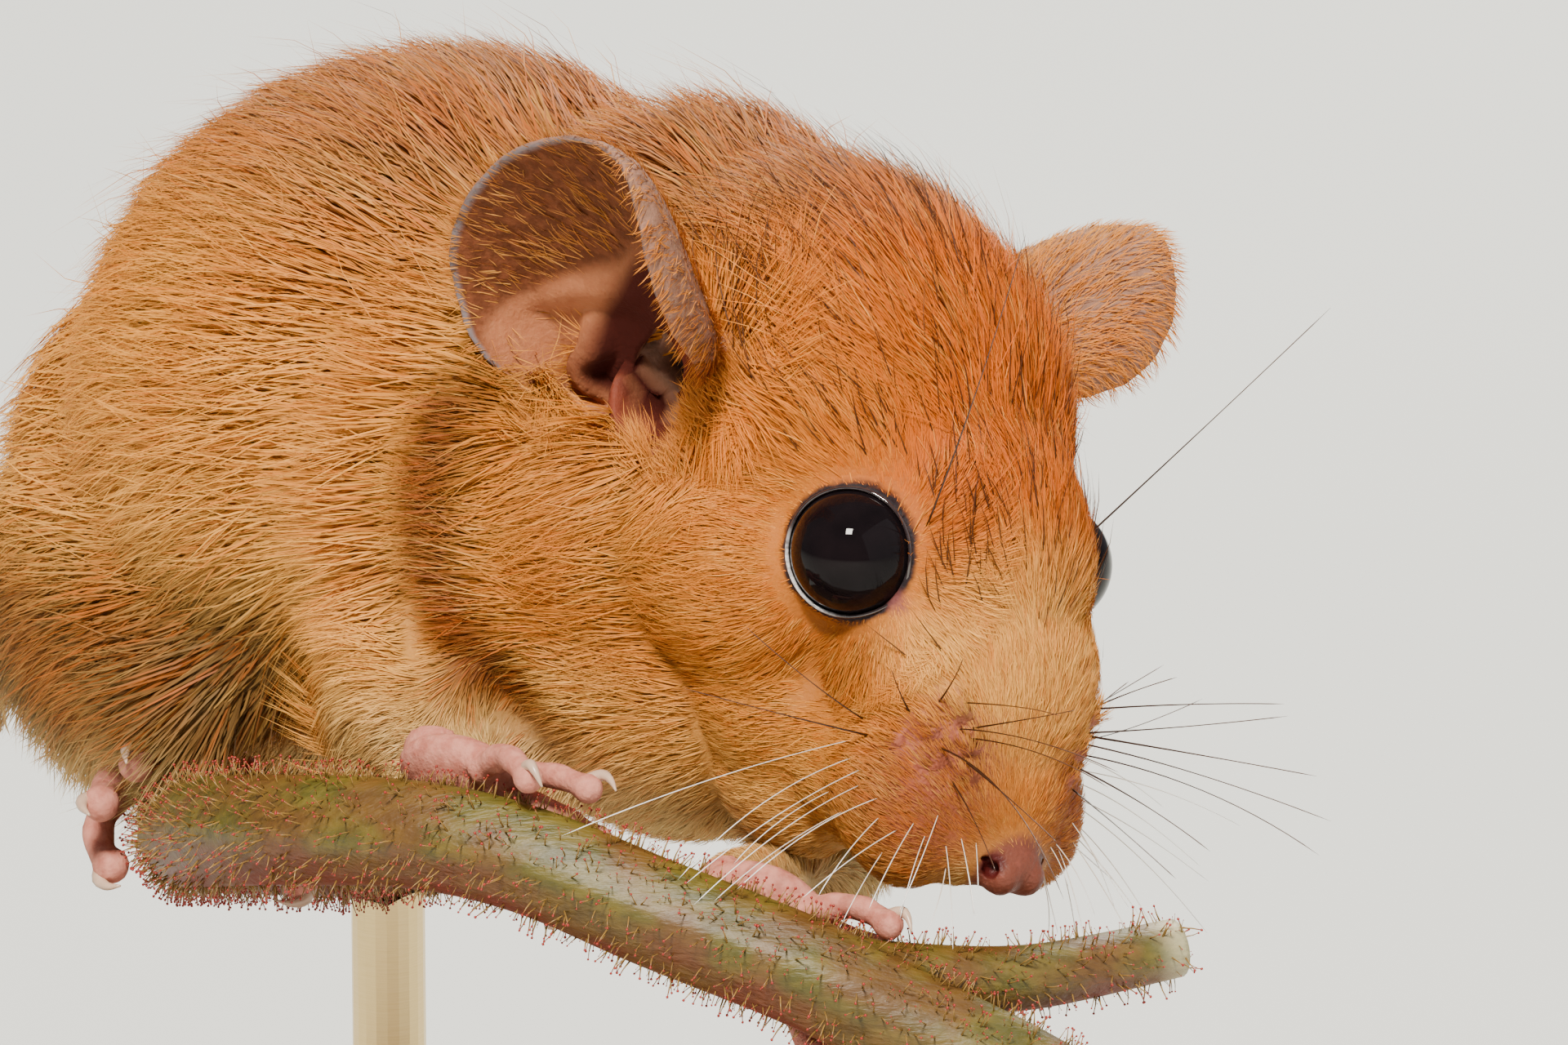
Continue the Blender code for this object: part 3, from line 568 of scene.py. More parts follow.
def soft(value, low, high):
    """0 at low, 1 at high, with soft ends."""
    t = np.clip((value - low) / (high - low), 0, 1)
    return t * t * (3 - 2 * t)


def both(point):
    """The point and its twin on the other side."""
    x, y, z = point
    return (x, y, z), (x, -y, z)


EYES = both((0, EYE_APART / 2, 0))


def nearest(places, points):
    """Distance of each place from the nearest of some points."""
    return np.min([np.linalg.norm(places - np.array(point), axis=1) for point in points], axis=0)


def fold_behind_cheek(places):
    """1 along the deep fold between the cheek and the shoulder, 0 away from it."""
    body = within(places, BODY)
    line = FOLD_AT[0] + FOLD_CURVE * (body[:, 2] - FOLD_AT[1]) ** 2
    across = 1 - soft(np.abs(body[:, 0] - line), 0.0, FOLD_WIDE)
    across = across * soft(np.abs(body[:, 1]), 6, 9)
    return across * soft(body[:, 2], -10, -7) * (1 - soft(body[:, 2], 6, 9))


def depth_of_coat(places):
    """Reach of the hair over the skin: least at the nose and the paws, most on the body."""
    nose = np.linalg.norm(within(places, HEAD) - np.array(NOSE_AT), axis=1)
    length = np.interp(nose, [0, 2, 5, 9, 14, 18, 24, 32], [0.3, 0.5, 0.85, 1.4, 2.3, 3.3, 5.0, 6.2])
    return length * np.interp(nearest(places, WRISTS), [0, 2.5, 7], [0.2, 0.4, 1.0])


def coat_length(places):
    """Length of the hair, which is shorter again round the lids."""
    eye = nearest(within(places, HEAD), EYES)
    return np.minimum(depth_of_coat(places), 0.28 + 0.7 * np.maximum(eye - 2.6, 0))


def sunk(obj):
    """Draws a form in along its normals by the depth of the coat over it."""
    places, normals = vertex_arrays(obj.data)
    length = depth_of_coat(places)
    depth = length * np.interp(length, [0.5, 2.0, 6.0], [0.14, 0.3, 0.42])
    depth += FOLD_DEEP * fold_behind_cheek(places)
    places -= normals * depth[:, None]
    obj.data.vertices.foreach_set("co", places.astype(np.float32).ravel())
    obj.data.update()
    return obj


# Skin
def lid_edge(side, opens, count=56):
    """Ways from the eye's middle to a ring round it, in the head's frame, from the front corner round."""
    looks = sided(EYE_LOOKS, side).normalized()
    front = (LID_CORNER - looks * LID_CORNER.dot(looks)).normalized()
    down = looks.cross(front) * side
    ways = []
    for k in range(count):
        a = 2 * math.pi * k / count
        corner = max(0.0, math.cos(a)) ** 16 * 7.0 + max(0.0, -math.cos(a)) ** 14 * 2.5
        wide = math.radians(opens + corner)
        ways.append(around(looks, around(front, down, a), wide))
    return ways


def eye_centre(side):
    return Vector((0, side * EYE_APART / 2, 0))


def head_skin():
    """Head with brows, lids, whisker pads, nostrils, lips and the cleft of the lip."""
    bm = bmesh.new()
    add_forms(bm, HEAD, HEAD_FORMS)
    add_forms(bm, HEAD, NAPE_FORMS)
    bm = taken(sunk(fuse(bm, "head form", 0.3, 5)))
    for side in (-1, 1):
        for opens, away, radius in LID_RINGS:
            rim = [HEAD @ (eye_centre(side) + way * away) for way in lid_edge(side, opens)]
            add_tube(bm, rim, [radius] * len(rim), closed=True)
        add_ball(bm, HEAD, sided(NOSE_WING_AT, side), NOSE_WING, pitch=MUZZLE_PITCH, fine=3)
        for bump in PAD_BUMPS:
            add_ball(bm, HEAD, sided(bump, side), PAD_BUMP, pitch=MUZZLE_PITCH, fine=2)
    head = fuse(bm, "head skin", 0.19, 2)
    cutters = []
    for side in (-1, 1):
        bm = bmesh.new()
        add_ball(bm, HEAD, eye_centre(side), [EYE_R + 0.03] * 3)
        cutters.append(object_of(bm, "socket"))
        bm = bmesh.new()
        for off, radii, yaw in NOSTRIL:
            at = [start + step for start, step in zip(NOSTRIL_AT, off)]
            add_ball(bm, HEAD, sided(at, side), radii, yaw=side * yaw, fine=3)
        cutters.append(fuse(bm, "nostril", 0.07, 2))
    bm = bmesh.new()
    add_tube(bm, [HEAD @ Vector((x, 0, z)) for x, z in CLEFT], [0.13] * len(CLEFT))
    cutters.append(object_of(bm, "cleft"))
    bm = bmesh.new()
    line = [(x, -y, z) for x, y, z in reversed(LIP_LINE[1:])] + list(LIP_LINE)
    add_tube(bm, [HEAD @ Vector(place) for place in line], [0.2] * len(line))
    cutters.append(object_of(bm, "mouth"))
    return combine(head, cutters, "DIFFERENCE")


def rim_angle(turn):
    """Angle of the rim at a share of the way round it."""
    return EAR_RIM[0][0] + (EAR_RIM[-1][0] - EAR_RIM[0][0]) * turn


def rim_column(angle):
    """Number of the grid's column at an angle of the rim."""
    return round((angle - rim_angle(0)) / (rim_angle(1) - rim_angle(0)) * (EAR_COLUMNS - 1))


def room_in_cup(side):
    """The room in front of an ear's floor and flap, which is cut from the skin of the head."""
    grid, faces = ear_grid(side)
    columns = range(rim_column(ROOM_ANGLES[0]), rim_column(ROOM_ANGLES[1]), 3)
    rows = range(2, EAR_ROWS - 4, 3)
    outward = head_way(EAR_FACES, side)
    bm = bmesh.new()
    floor_sheet = [[bm.verts.new(grid[i, k]) for k in rows] for i in columns]
    top_sheet = [[bm.verts.new(Vector(grid[i, k]) + outward * 5) for k in rows] for i in columns]
    close_sheets(bm, floor_sheet, top_sheet)
    return object_of(bm, "room in cup")


def pit(side):
    bm = bmesh.new()
    add_ball(bm, HEAD, sided(PIT_AT, side), PIT_SIZE, pitch=PIT_PITCH, fine=3)
    return object_of(bm, "pit")


def body_skin():
    """Body with its limbs down to the wrists and heels, and the tail under its coat."""
    bm = bmesh.new()
    add_forms(bm, BODY, BODY_FORMS)
    add_forms(bm, HEAD, NAPE_FORMS)
    for bones, end in zip(LIMBS, WRISTS):
        places = [BODY @ Vector(place) for place, radius in bones] + [end]
        add_tube(bm, places, [radius for place, radius in bones] + [WRIST_R], sides=16, steps=5)
    bm = taken(sunk(fuse(bm, "body form", 0.5, 6)))
    route = [BODY @ Vector((-13.0, 2.0, -2.5)), *TAIL_ROUTE]
    radii = [TAIL_COAT[0] * TAIL_SKIN * 1.4] + [reach * TAIL_SKIN for reach in TAIL_COAT]
    add_tube(bm, route, radii, sides=16, steps=6)
    return fuse(bm, "body skin", 0.4, 3)


# Ears
def ear_profile(angle):
    """Reach, height and curl of the rim at an angle, on a smooth curve through the table."""
    angles = [row[0] for row in EAR_RIM]
    i = max(0, min(len(EAR_RIM) - 2, int(np.searchsorted(angles, angle) - 1)))
    rows = [EAR_RIM[max(i - 1, 0)], EAR_RIM[i], EAR_RIM[i + 1], EAR_RIM[min(i + 2, len(EAR_RIM) - 1)]]
    t = (angle - rows[1][0]) / (rows[2][0] - rows[1][0])
    return [catmull(*(row[k] for row in rows), t) for k in (1, 2, 3)]


def ear_place(side, turn, out):
    """Place on the ear's cup: turn from one end of the rim to the other, out from canal to rim."""
    root = Vector(EAR_ROOT)
    face = Vector(EAR_FACES).normalized()
    top = Vector(EAR_TOP) - root
    top = (top - face * top.dot(face)).normalized()
    rear = top.cross(face)
    angle = rim_angle(turn)
    reach, height, curl = ear_profile(angle)
    reach *= EAR_SIZES[side]
    height *= EAR_SIZES[side]
    radial = out * (1 + curl * (1 - out))
    rise = -EAR_SUNK + (height + EAR_SUNK) * out ** float(np.interp(angle, EAR_RISE_TURN, EAR_RISES))
    # The rim of the canal stands up as a lip at its rear, and the floor behind it is smooth and dished
    lip = math.exp(-(((out - EAR_LIP[0] - EAR_LIP[1] * max(0.0, angle - 62)) / 0.055) ** 2))
    window = math.exp(-(((angle - 76) / 30) ** 4))
    rise += 1.15 * lip * window - 0.55 * window * math.exp(-(((out - 0.62) / 0.2) ** 2))
    # A soft shelf parts the thin upper flap from the floor
    shelf = float(np.interp(angle, *SHELF))
    rise += 0.42 * math.exp(-(((out - shelf) / 0.07) ** 2)) * math.exp(-(((angle - 32) / 34) ** 4))
    rise += 0.06 * math.sin(angle * 0.35 + 2.0) * out**2 + 0.04 * math.sin(angle * 0.9 + 9 * out) * out
    a = math.radians(angle)
    place = root + (top * math.cos(a) + rear * math.sin(a)) * (reach * radial + 0.8 * (1 - out))
    place += face * rise
    return beside(place, side)


def ear_grid(side):
    """Places over the ear's cup as an array of columns, rows and x, y, z, with the way each one faces."""
    turns = [i / (EAR_COLUMNS - 1) for i in range(EAR_COLUMNS)]
    shares = [0.1 + 0.9 * k / (EAR_ROWS - 1) for k in range(EAR_ROWS)]
    grid = np.array([[ear_place(side, turn, out) for out in shares] for turn in turns])
    faces = np.cross(np.gradient(grid, axis=0), np.gradient(grid, axis=1))
    faces /= np.linalg.norm(faces, axis=2, keepdims=True)
    outward = np.array(head_way(EAR_FACES, side))
    faces *= np.sign((faces * outward).sum(axis=2).mean())
    return grid, faces


def ear_shell(side):
    """Cupped shell, thick at its root and thin at its rim."""
    grid, faces = ear_grid(side)
    out = np.linspace(0, 1, EAR_ROWS)
    half = np.interp(out, *EAR_HALF)[None, :, None]
    bm = bmesh.new()
    sheets = []
    for way in (1, -1):
        sheet = grid + faces * half * way
        sheets.append([[bm.verts.new(place) for place in column] for column in sheet])
    close_sheets(bm, *sheets)
    return object_of(bm, "ear shell")


# Materials
class Socket:
    """An output socket that takes part in sums."""

    def __init__(self, look, socket):
        self.look = look
        self.socket = socket

    def maths(self, operation, first, second=0.0):
        return self.look.node("ShaderNodeMath", {"operation": operation}, {0: first, 1: second})

    def __add__(self, other):
        return self.maths("ADD", self, other)

    def __sub__(self, other):
        return self.maths("SUBTRACT", self, other)

    def __mul__(self, other):
        return self.maths("MULTIPLY", self, other)

    def __rsub__(self, other):
        return self.maths("SUBTRACT", other, self)

    __radd__ = __add__
    __rmul__ = __mul__

    def size(self):
        return self.maths("ABSOLUTE", self)

    def to(self, low, high):
        """0 at low, 1 at high, with soft ends. It falls from 1 to 0 where low is the greater number."""
        settings = {"interpolation_type": "SMOOTHSTEP"}
        if low < high:
            return self.look.node("ShaderNodeMapRange", settings, {0: self, 1: low, 2: high})
        return 1.0 - self.look.node("ShaderNodeMapRange", settings, {0: self, 1: high, 2: low})


class Look:
    """A material and the nodes that it is made of."""

    def __init__(self, name, **constants):
        self.material = bpy.data.materials.new(name)
        self.material.use_nodes = True
        self.tree = self.material.node_tree
        self.shader = self.tree.nodes["Principled BSDF"]
        for socket, value in constants.items():
            self.shader.inputs[socket.replace("_", " ")].default_value = value

    def node(self, kind, settings=None, sockets=None, output=0):
        """Any node: its settings first, then the values or links of its sockets."""
        made = self.tree.nodes.new(kind)
        for key, value in (settings or {}).items():
            if key == "stops":
                self.set_stops(made.color_ramp, value)
            else:
                setattr(made, key, value)
        for key, value in (sockets or {}).items():
            self.feed(made.inputs[key], value)
        return Socket(self, made.outputs[output])

    def set_stops(self, ramp, stops):
        while len(ramp.elements) < len(stops):
            ramp.elements.new(0.5)
        for element, (place, colour) in zip(ramp.elements, stops):
            element.position = place
            element.color = (*colour, 1.0)

    def feed(self, socket, value):
        if isinstance(value, Socket):
            self.tree.links.new(value.socket, socket)
        else:
            socket.default_value = value

    def give(self, socket, value):
        self.feed(self.shader.inputs[socket], value)

    def place(self):
        """Place on the object in millimetres."""
        coordinates = self.node("ShaderNodeTexCoord", output=3)
        return self.node("ShaderNodeVectorMath", {"operation": "SCALE"}, {0: coordinates, "Scale": 1 / MM})

    def stretched(self, place, factors):
        """The place with its axes scaled, for a grain that runs one way."""
        return self.node("ShaderNodeVectorMath", {"operation": "MULTIPLY"}, {0: place, 1: factors})

    def axis(self, place, matrix, number):
        """Coordinate of the place along one axis of a frame."""
        way = matrix.to_3x3().col[number]
        level = way.dot(matrix.translation)
        dot = self.node("ShaderNodeVectorMath", {"operation": "DOT_PRODUCT"}, {0: place, 1: way}, output=1)
        return dot - level

    def away(self, place, point):
        """Distance of the place from a point."""
        return self.node("ShaderNodeVectorMath", {"operation": "DISTANCE"}, {0: place, 1: point}, output=1)

    def mix(self, share, one, two, blend="MIX"):
        settings = {"data_type": "RGBA", "blend_type": blend}
        one = one if isinstance(one, Socket) else (*one, 1.0)
        two = two if isinstance(two, Socket) else (*two, 1.0)
        return self.node("ShaderNodeMix", settings, {0: share, 6: one, 7: two}, output=2)

    def noise(self, place, scale, detail=3.0):
        sockets = {"Vector": place, "Scale": scale, "Detail": detail}
        return self.node("ShaderNodeTexNoise", None, sockets)

    def reading(self, name):
        """Value of one of the mesh's own attributes."""
        return self.node("ShaderNodeAttribute", {"attribute_name": name}, output=2)

    def bump(self, height, distance, strength=1.0):
        sockets = {"Height": height, "Distance": distance * MM, "Strength": strength}
        self.give("Normal", self.node("ShaderNodeBump", None, sockets))


# Colours of the coat and of bare skin, and of the painted shade, sheen and highlight
GINGER = (0.58, 0.17, 0.016)
DEEP_ORANGE = (0.46, 0.085, 0.003)
GOLD = (0.62, 0.25, 0.035)
BUFF = (0.74, 0.38, 0.085)
CREAM = (0.64, 0.47, 0.19)
# Brown of the back, with the painted mauve sheen that light gives it
BROWN_WITH_PAINTED_SHEEN = (0.25, 0.085, 0.028)
SHADED = (0.07, 0.045, 0.018)
PAINTED_SHADE_BROWN = (0.13, 0.032, 0.005)
ROOT_GREY = (0.07, 0.022, 0.005)
BARE_PINK = (0.3, 0.08, 0.055)
NOSE_PINK = (0.15, 0.042, 0.025)
PAD_RED = (0.26, 0.07, 0.02)
PAD_BROWN = (0.13, 0.03, 0.018)
LOW_PAD_RED = (0.22, 0.05, 0.02)
RIM_BLACK = (0.012, 0.007, 0.009)
TEAR_RED = (0.2, 0.055, 0.05)
NOSTRIL_SHADE = (0.06, 0.006, 0.005)
PIT_WALL = (0.17, 0.035, 0.017)
PIT_SHADE = (0.012, 0.002, 0.001)
PIT_FRONT_RED = (0.16, 0.03, 0.016)
CANAL_SHADE = (0.05, 0.007, 0.004)
EAR_RIM_HIGHLIGHT = (0.17, 0.13, 0.13)
# Pairs that fine noise mixes
EAR_FLOOR = ((0.36, 0.13, 0.055), (0.26, 0.075, 0.03))
EAR_FLAP = ((0.1, 0.026, 0.007), (0.16, 0.045, 0.015))
EAR_BACK = ((0.22, 0.11, 0.07), (0.3, 0.15, 0.1))
PAW_PINK = ((0.55, 0.22, 0.16), (0.42, 0.14, 0.1))


def markings_shade_and_sheen(look, place):
    """Colour of the coat at a place, with its painted shade and sheen, the same on the skin and on the hair.
    """
    head_x, head_y, head_z = (look.axis(place, HEAD, i) for i in range(3))
    body_x, body_y, body_z = (look.axis(place, BODY, i) for i in range(3))
    # The body: browner along the back with a painted mauve sheen on it, gold on the flanks, painted shade
    # low on the rear, and cream below
    spine = body_z.to(5, 14) * (1.0 - body_y.size().to(5, 15) * 0.7)
    body = look.mix(spine * 0.85, GOLD, BROWN_WITH_PAINTED_SHEEN)
    body = look.mix(body_z.to(9, -4) * 0.55, body, BUFF)
    # Painted shade low on the rear of the body
    body = look.mix(body_z.to(-0.5, -6.5) * body_x.to(5, -1) * 0.88, body, SHADED)
    body = look.mix(body_z.to(-4, -9) * body_x.to(3, 8) * 0.7, body, CREAM)
    body = look.mix(body_z.to(-9, -14), body, CREAM)
    # The head: deep orange on the forehead, gold on the cheeks, cream under the jaw
    brow = head_z.to(-1, 4) * head_y.size().to(8.5, 2.5) * head_x.to(4.5, 0.5)
    head = look.mix(brow * 0.9, GINGER, DEEP_ORANGE)
    head = look.mix(head_z.to(0, -6) * 0.6, head, GOLD)
    head = look.mix(head_x.to(1.5, 5) * head_z.to(-2.5, 0.5) * 0.75, head, BUFF)
    under = body_z * 0.55 + head_z * 0.45
    head = look.mix(under.to(-5.5, -9.5), head, BUFF)
    head = look.mix(under.to(-8.5, -12), head, CREAM)
    for side in (-1, 1):
        pad = look.away(place, beside(LOW_PAD_AT, side))
        head = look.mix(pad.to(4.6, 1.4) * 0.75, head, PAD_RED)
        # Painted shade below the eye
        shade_below_eye = look.away(place, beside(SHADE_BELOW_EYE, side))
        head = look.mix(shade_below_eye.to(3.4, 0.8) * 0.45, head, PAINTED_SHADE_BROWN)
    # Painted shade: the head darker towards its underside
    head = look.mix(head_z.to(-1.5, -7) * 0.2, head, PAINTED_SHADE_BROWN)
    colour = look.mix(head_x.to(-16, -9) * body_x.to(8, 12), body, head)
    # Painted shade in the fold between the cheek and the shoulder
    fold_x = (body_z - FOLD_AT[1]) * (body_z - FOLD_AT[1]) * FOLD_CURVE + FOLD_AT[0]
    fold = (body_x - fold_x).size().to(FOLD_WIDE, 0.3) * body_y.size().to(6, 9)
    fold = fold * body_z.to(-9, -5) * body_z.to(8, 5)
    colour = look.mix(fold * 0.95, colour, PAINTED_SHADE_BROWN)
    patches = look.noise(place, 0.22)
    return look.mix(patches.to(0.35, 0.7) * 0.25, colour, DEEP_ORANGE)


def coat_look(name, share=0.0, tint=(0.03, 0.01, 0.004)):
    """Hair: greyish at its root, the coat's colour with its painted shade and sheen further out, and paler
    at its tip.
    """
    look = Look(name, Roughness=0.55, Specular_IOR_Level=0.12)
    place = look.place()
    tip = look.reading("tip")
    tone = look.reading("tone")
    colour = markings_shade_and_sheen(look, place)
    colour = look.mix(tone.to(0.45, 0.1) * 0.5, colour, DEEP_ORANGE)
    colour = look.mix(tone.to(0.6, 0.95) * 0.38, colour, BUFF)
    colour = look.mix(tip.to(0.45, 0.0) * 0.5, colour, ROOT_GREY)
    colour = look.mix(tip.to(0.7, 1.0) * 0.15, colour, BUFF)
    for side in (-1, 1):
        nose = look.away(place, beside(NOSE_HAIRS_AT, side)).to(2.3, 1.2)
        colour = look.mix(nose * 0.4, colour, CREAM)
    look.give("Base Color", look.mix(share, colour, tint))
    return look.material


def skin_look():
    """Skin under the coat and where it is bare: nose, pads, lids, ears and paws."""
    look = Look("skin", Roughness=0.5, Specular_IOR_Level=0.2, Subsurface_Weight=0.1)
    look.shader.inputs["Subsurface Radius"].default_value = (1.2, 0.4, 0.2)
    look.shader.inputs["Subsurface Scale"].default_value = 0.0005
    place = look.place()
    fine = look.noise(place, 2.2, 5.0)
    colour = look.mix(0.35, markings_shade_and_sheen(look, place), ROOT_GREY)
    nose = look.away(place, HEAD @ Vector(NOSE_PAD_AT)).to(1.95, 1.4)
    pads = 0.0
    blots = look.noise(place, 1.1, 4.0)
    for side in (-1, 1):
        pad = look.away(place, beside(PAD_AT, side)).to(3.2, 1.2)
        low_pad = look.away(place, beside(LOW_PAD_AT, side)).to(3.0, 1.0)
        pads = pads + pad
        colour = look.mix(pad * 0.85, colour, look.mix(blots.to(0.4, 0.62), BARE_PINK, PAD_BROWN))
        colour = look.mix(low_pad * 0.8, colour, LOW_PAD_RED)
        lid = (look.away(place, HEAD @ eye_centre(side)) + fine * 0.3).to(2.92, 2.66)
        colour = look.mix(lid, colour, RIM_BLACK)
        corner = look.away(place, beside(TEAR_CORNER, side)).to(0.75, 0.25)
        colour = look.mix(corner * 0.8, colour, TEAR_RED)
    colour = look.mix(nose, colour, NOSE_PINK)
    colour = look.mix(fine.to(0.5, 0.75) * nose * 0.4, colour, BARE_PINK)
    # Painted shade inside each nostril
    for side in (-1, 1):
        x, y, z = NOSTRIL_AT
        nostril = look.away(place, beside((x - 0.1, y - 0.15, z), side)).to(0.7, 0.38)
        colour = look.mix(nostril, colour, NOSTRIL_SHADE)
    for side in (-1, 1):
        x, y, z = PIT_AT
        wall = look.away(place, beside(PIT_AT, side)).to(3.6, 3.0)
        # Painted shade deep in the pit
        deep = look.away(place, beside((x - 0.5, y - 2.6, z), side)).to(3.6, 2.0)
        colour = look.mix(wall, colour, PIT_WALL)
        colour = look.mix(deep, colour, PIT_SHADE)
    ear = look.reading("ear")
    out = look.reading("out")
    flap = look.reading("flap")
    cup = look.mix(fine.to(0.35, 0.7) * 0.4, *EAR_FLOOR)
    cup = look.mix(flap, cup, look.mix(fine.to(0.4, 0.65), *EAR_FLAP))
    # Painted shade where the canal opens
    cup = look.mix(look.reading("canal"), cup, CANAL_SHADE)
    # Painted highlight along the rim of the ear
    cup = look.mix(out.to(0.95, 0.99), cup, EAR_RIM_HIGHLIGHT)
    cup = look.mix(look.reading("outer"), cup, look.mix(fine.to(0.4, 0.7), *EAR_BACK))
    for side in (-1, 1):
        front = look.away(place, beside(PIT_FRONT, side))
        cup = look.mix(front.to(3.5, 2.3) * 0.95, cup, PIT_FRONT_RED)
    colour = look.mix(ear, colour, cup)
    colour = look.mix(look.reading("paw"), colour, look.mix(fine.to(0.35, 0.7), *PAW_PINK))
    look.give("Base Color", colour)
    look.give("Roughness", 0.66 - nose * 0.2 + look.reading("canal") * 0.3)
    bumps = look.noise(place, 6.0, 4.0) + look.noise(place, 1.5, 2.0).to(0.35, 0.65) * pads * 2.5
    look.bump(bumps, 0.09, 0.6)
    return look.material


def eye_look():
    look = Look("eyeball", Roughness=0.02, IOR=1.2)
    place = look.place()
    cloud = look.noise(place, 0.9)
    look.give("Base Color", look.mix(cloud, (0.002, 0.0015, 0.002), (0.008, 0.005, 0.006)))
    return look.material


def wet_look():
    look = Look("wet rim", Roughness=0.04, Coat_Weight=1.0, Coat_Roughness=0.02)
    place = look.place()
    # Painted highlight: the film is pale along the lower part of each rim, where it glints, and dark
    # elsewhere
    shares = []
    for side in (-1, 1):
        low = HEAD @ (eye_centre(side) + Vector((-0.2, side * 0.9, -2.3)))
        shares.append(look.away(place, low).to(2.6, 1.3))
    film = look.mix(shares[0] + shares[1], (0.02, 0.012, 0.012), (0.62, 0.58, 0.58))
    look.give("Base Color", look.mix(look.noise(place, 4.0).to(0.4, 0.65) * 0.7, film, (0.03, 0.02, 0.02)))
    return look.material


def claw_look():
    look = Look("claw", Roughness=0.3, Specular_IOR_Level=0.5)
    grain = look.noise(look.place(), 2.0)
    look.give("Base Color", look.mix(grain, (0.6, 0.42, 0.3), (0.42, 0.26, 0.18)))
    return look.material


def whisker_look(name, root, tip_colour):
    look = Look(name, Roughness=0.3, Specular_IOR_Level=0.6)
    look.give("Base Color", look.mix(look.reading("tip").to(0.2, 0.9), root, tip_colour))
    return look.material


def stem_look():
    """Green bark flushed with red, with paler lines along it."""
    look = Look("green bark", Roughness=0.48, Specular_IOR_Level=0.45, Coat_Weight=0.1, Coat_Roughness=0.4)
    place = look.place()
    streak = look.stretched(place, (0.35, 1.4, 1.4))
    lines = look.noise(streak, 1.3, 4.0)
    blotch = look.noise(place, 0.3, 3.0)
    colour = look.mix(lines.to(0.35, 0.65), (0.058, 0.052, 0.003), (0.12, 0.09, 0.009))
    # The red blotches are the bark's own flush; the underside is painted darker and redder as painted shade
    low = look.reading("under")
    colour = look.mix((blotch.to(0.4, 0.62) * 0.55 + low * 0.8) * 0.8, colour, (0.13, 0.022, 0.008))
    colour = look.mix(look.reading("cut"), colour, (0.55, 0.5, 0.3))
    look.give("Base Color", colour)
    look.bump(look.noise(streak, 4.5, 5.0), 0.12, 0.6)
    return look.material


def gland_look():
    look = Look("stem hair", Roughness=0.35)
    tip = look.reading("tip")
    look.give("Base Color", look.mix(tip.to(0.45, 0.8), (0.27, 0.15, 0.035), (0.3, 0.018, 0.012)))
    return look.material


def wood_look():
    """Dark turned wood with fine grain, satin varnished."""
    look = Look("varnished walnut", Roughness=0.36, Coat_Weight=0.35, Coat_Roughness=0.22)
    place = look.place()
    long_grain = look.stretched(place, (0.05, 0.55, 0.5))
    wave = look.noise(long_grain, 0.45, 6.0)
    pores = look.noise(long_grain, 3.0, 2.0)
    colour = look.node(
        "ShaderNodeValToRGB",
        {"stops": [(0.3, (0.052, 0.024, 0.012)), (0.5, (0.125, 0.058, 0.028)), (0.72, (0.2, 0.1, 0.05))]},
        {0: wave},
    )
    colour = look.mix(pores.to(0.56, 0.7) * 0.55, colour, (0.03, 0.014, 0.008))
    look.give("Base Color", colour)
    look.give("Roughness", 0.3 + wave * 0.16)
    look.bump(pores, 0.05, 0.3)
    return look.material


def brass_look():
    look = Look("brushed brass", Metallic=1.0)
    place = look.place()
    rings = look.stretched(place, (0.4, 0.4, 9.0))
    brushed = look.noise(rings, 2.0, 3.0)
    look.give("Base Color", look.mix(brushed, (0.62, 0.44, 0.18), (0.78, 0.6, 0.3)))
    look.give("Roughness", 0.24 + brushed * 0.16)
    return look.material


def floor_look():
    look = Look("pale floor", Roughness=0.85)
    look.give("Base Color", look.mix(look.noise(look.place(), 0.01), (0.66, 0.67, 0.64), (0.7, 0.71, 0.68)))
    return look.material


# Coat
def waves(places, seed, long):
    """Three slow waves over the body, which keep the hair from lying too evenly."""
    rng = np.random.default_rng(seed)
    total = np.zeros((len(places), 3))
    for k in range(7):
        way = unit(rng.normal(size=3)) * rng.uniform(0.7, 1.6) * 2 * np.pi / long
        total += np.sin(places @ way[:, None] + rng.uniform(0, 6, 3)) * rng.uniform(-0.5, 0.5, 3)
    return total


def lie_of_coat(places, normals):
    """Way that the hair lies along the skin."""
    head = within(places, HEAD)
    from_nose = unit(head - np.array([12.5, 0, -3.2]))
    low = 1 - soft(head[:, 2], -3.5, 3.0)
    back = np.stack([-np.ones(len(head)), 0.1 * head[:, 1], -0.2 - 1.0 * low], axis=1)
    muzzle = soft(head[:, 0], 3.0, 9.0)[:, None]
    way = unit(back) * (1 - muzzle) + from_nose * muzzle
    ears = both((EAR_ROOT[0] - 1, EAR_ROOT[1], EAR_ROOT[2] + 2))
    # The hair parts round the eyes and the ears, most where it would run into them
    for middle, gently, more, near, far in (
        (EYES[1], 0.8, 3.4, 3.0, 6.2),
        (ears[1], 0.2, 0.9, 3.5, 8.0),
        (EYES[0], 0.8, 3.4, 3.0, 6.2),
        (ears[0], 0.2, 0.9, 3.5, 8.0),
    ):
        off = head - np.array(middle)
        distance = np.linalg.norm(off, axis=1)
        ahead = soft(-(way * unit(off)).sum(axis=1), -0.3, 0.6)
        way = way + unit(off) * ((gently + more * ahead) * (1 - soft(distance, near, far)))[:, None]
    way = way @ np.array(HEAD.to_3x3()).T
    body = within(places, BODY)
    down = 0.3 * soft(body[:, 2], 12, 2) + 0.6 * soft(body[:, 2], 2, -8)
    sideways = np.sign(body[:, 1]) * 0.12
    lie = np.stack([-np.ones(len(body)), sideways, -down], axis=1) @ np.array(BODY.to_3x3()).T
    share = (soft(head[:, 0], -17, -9) * soft(head[:, 2], -14, -10))[:, None]
    way = unit(way) * share + unit(lie) * (1 - share)
    way = unit(way) + waves(places, 3, 9.0) * 0.16 + waves(places, 4, 3.0) * 0.1
    return flattened(way, normals)


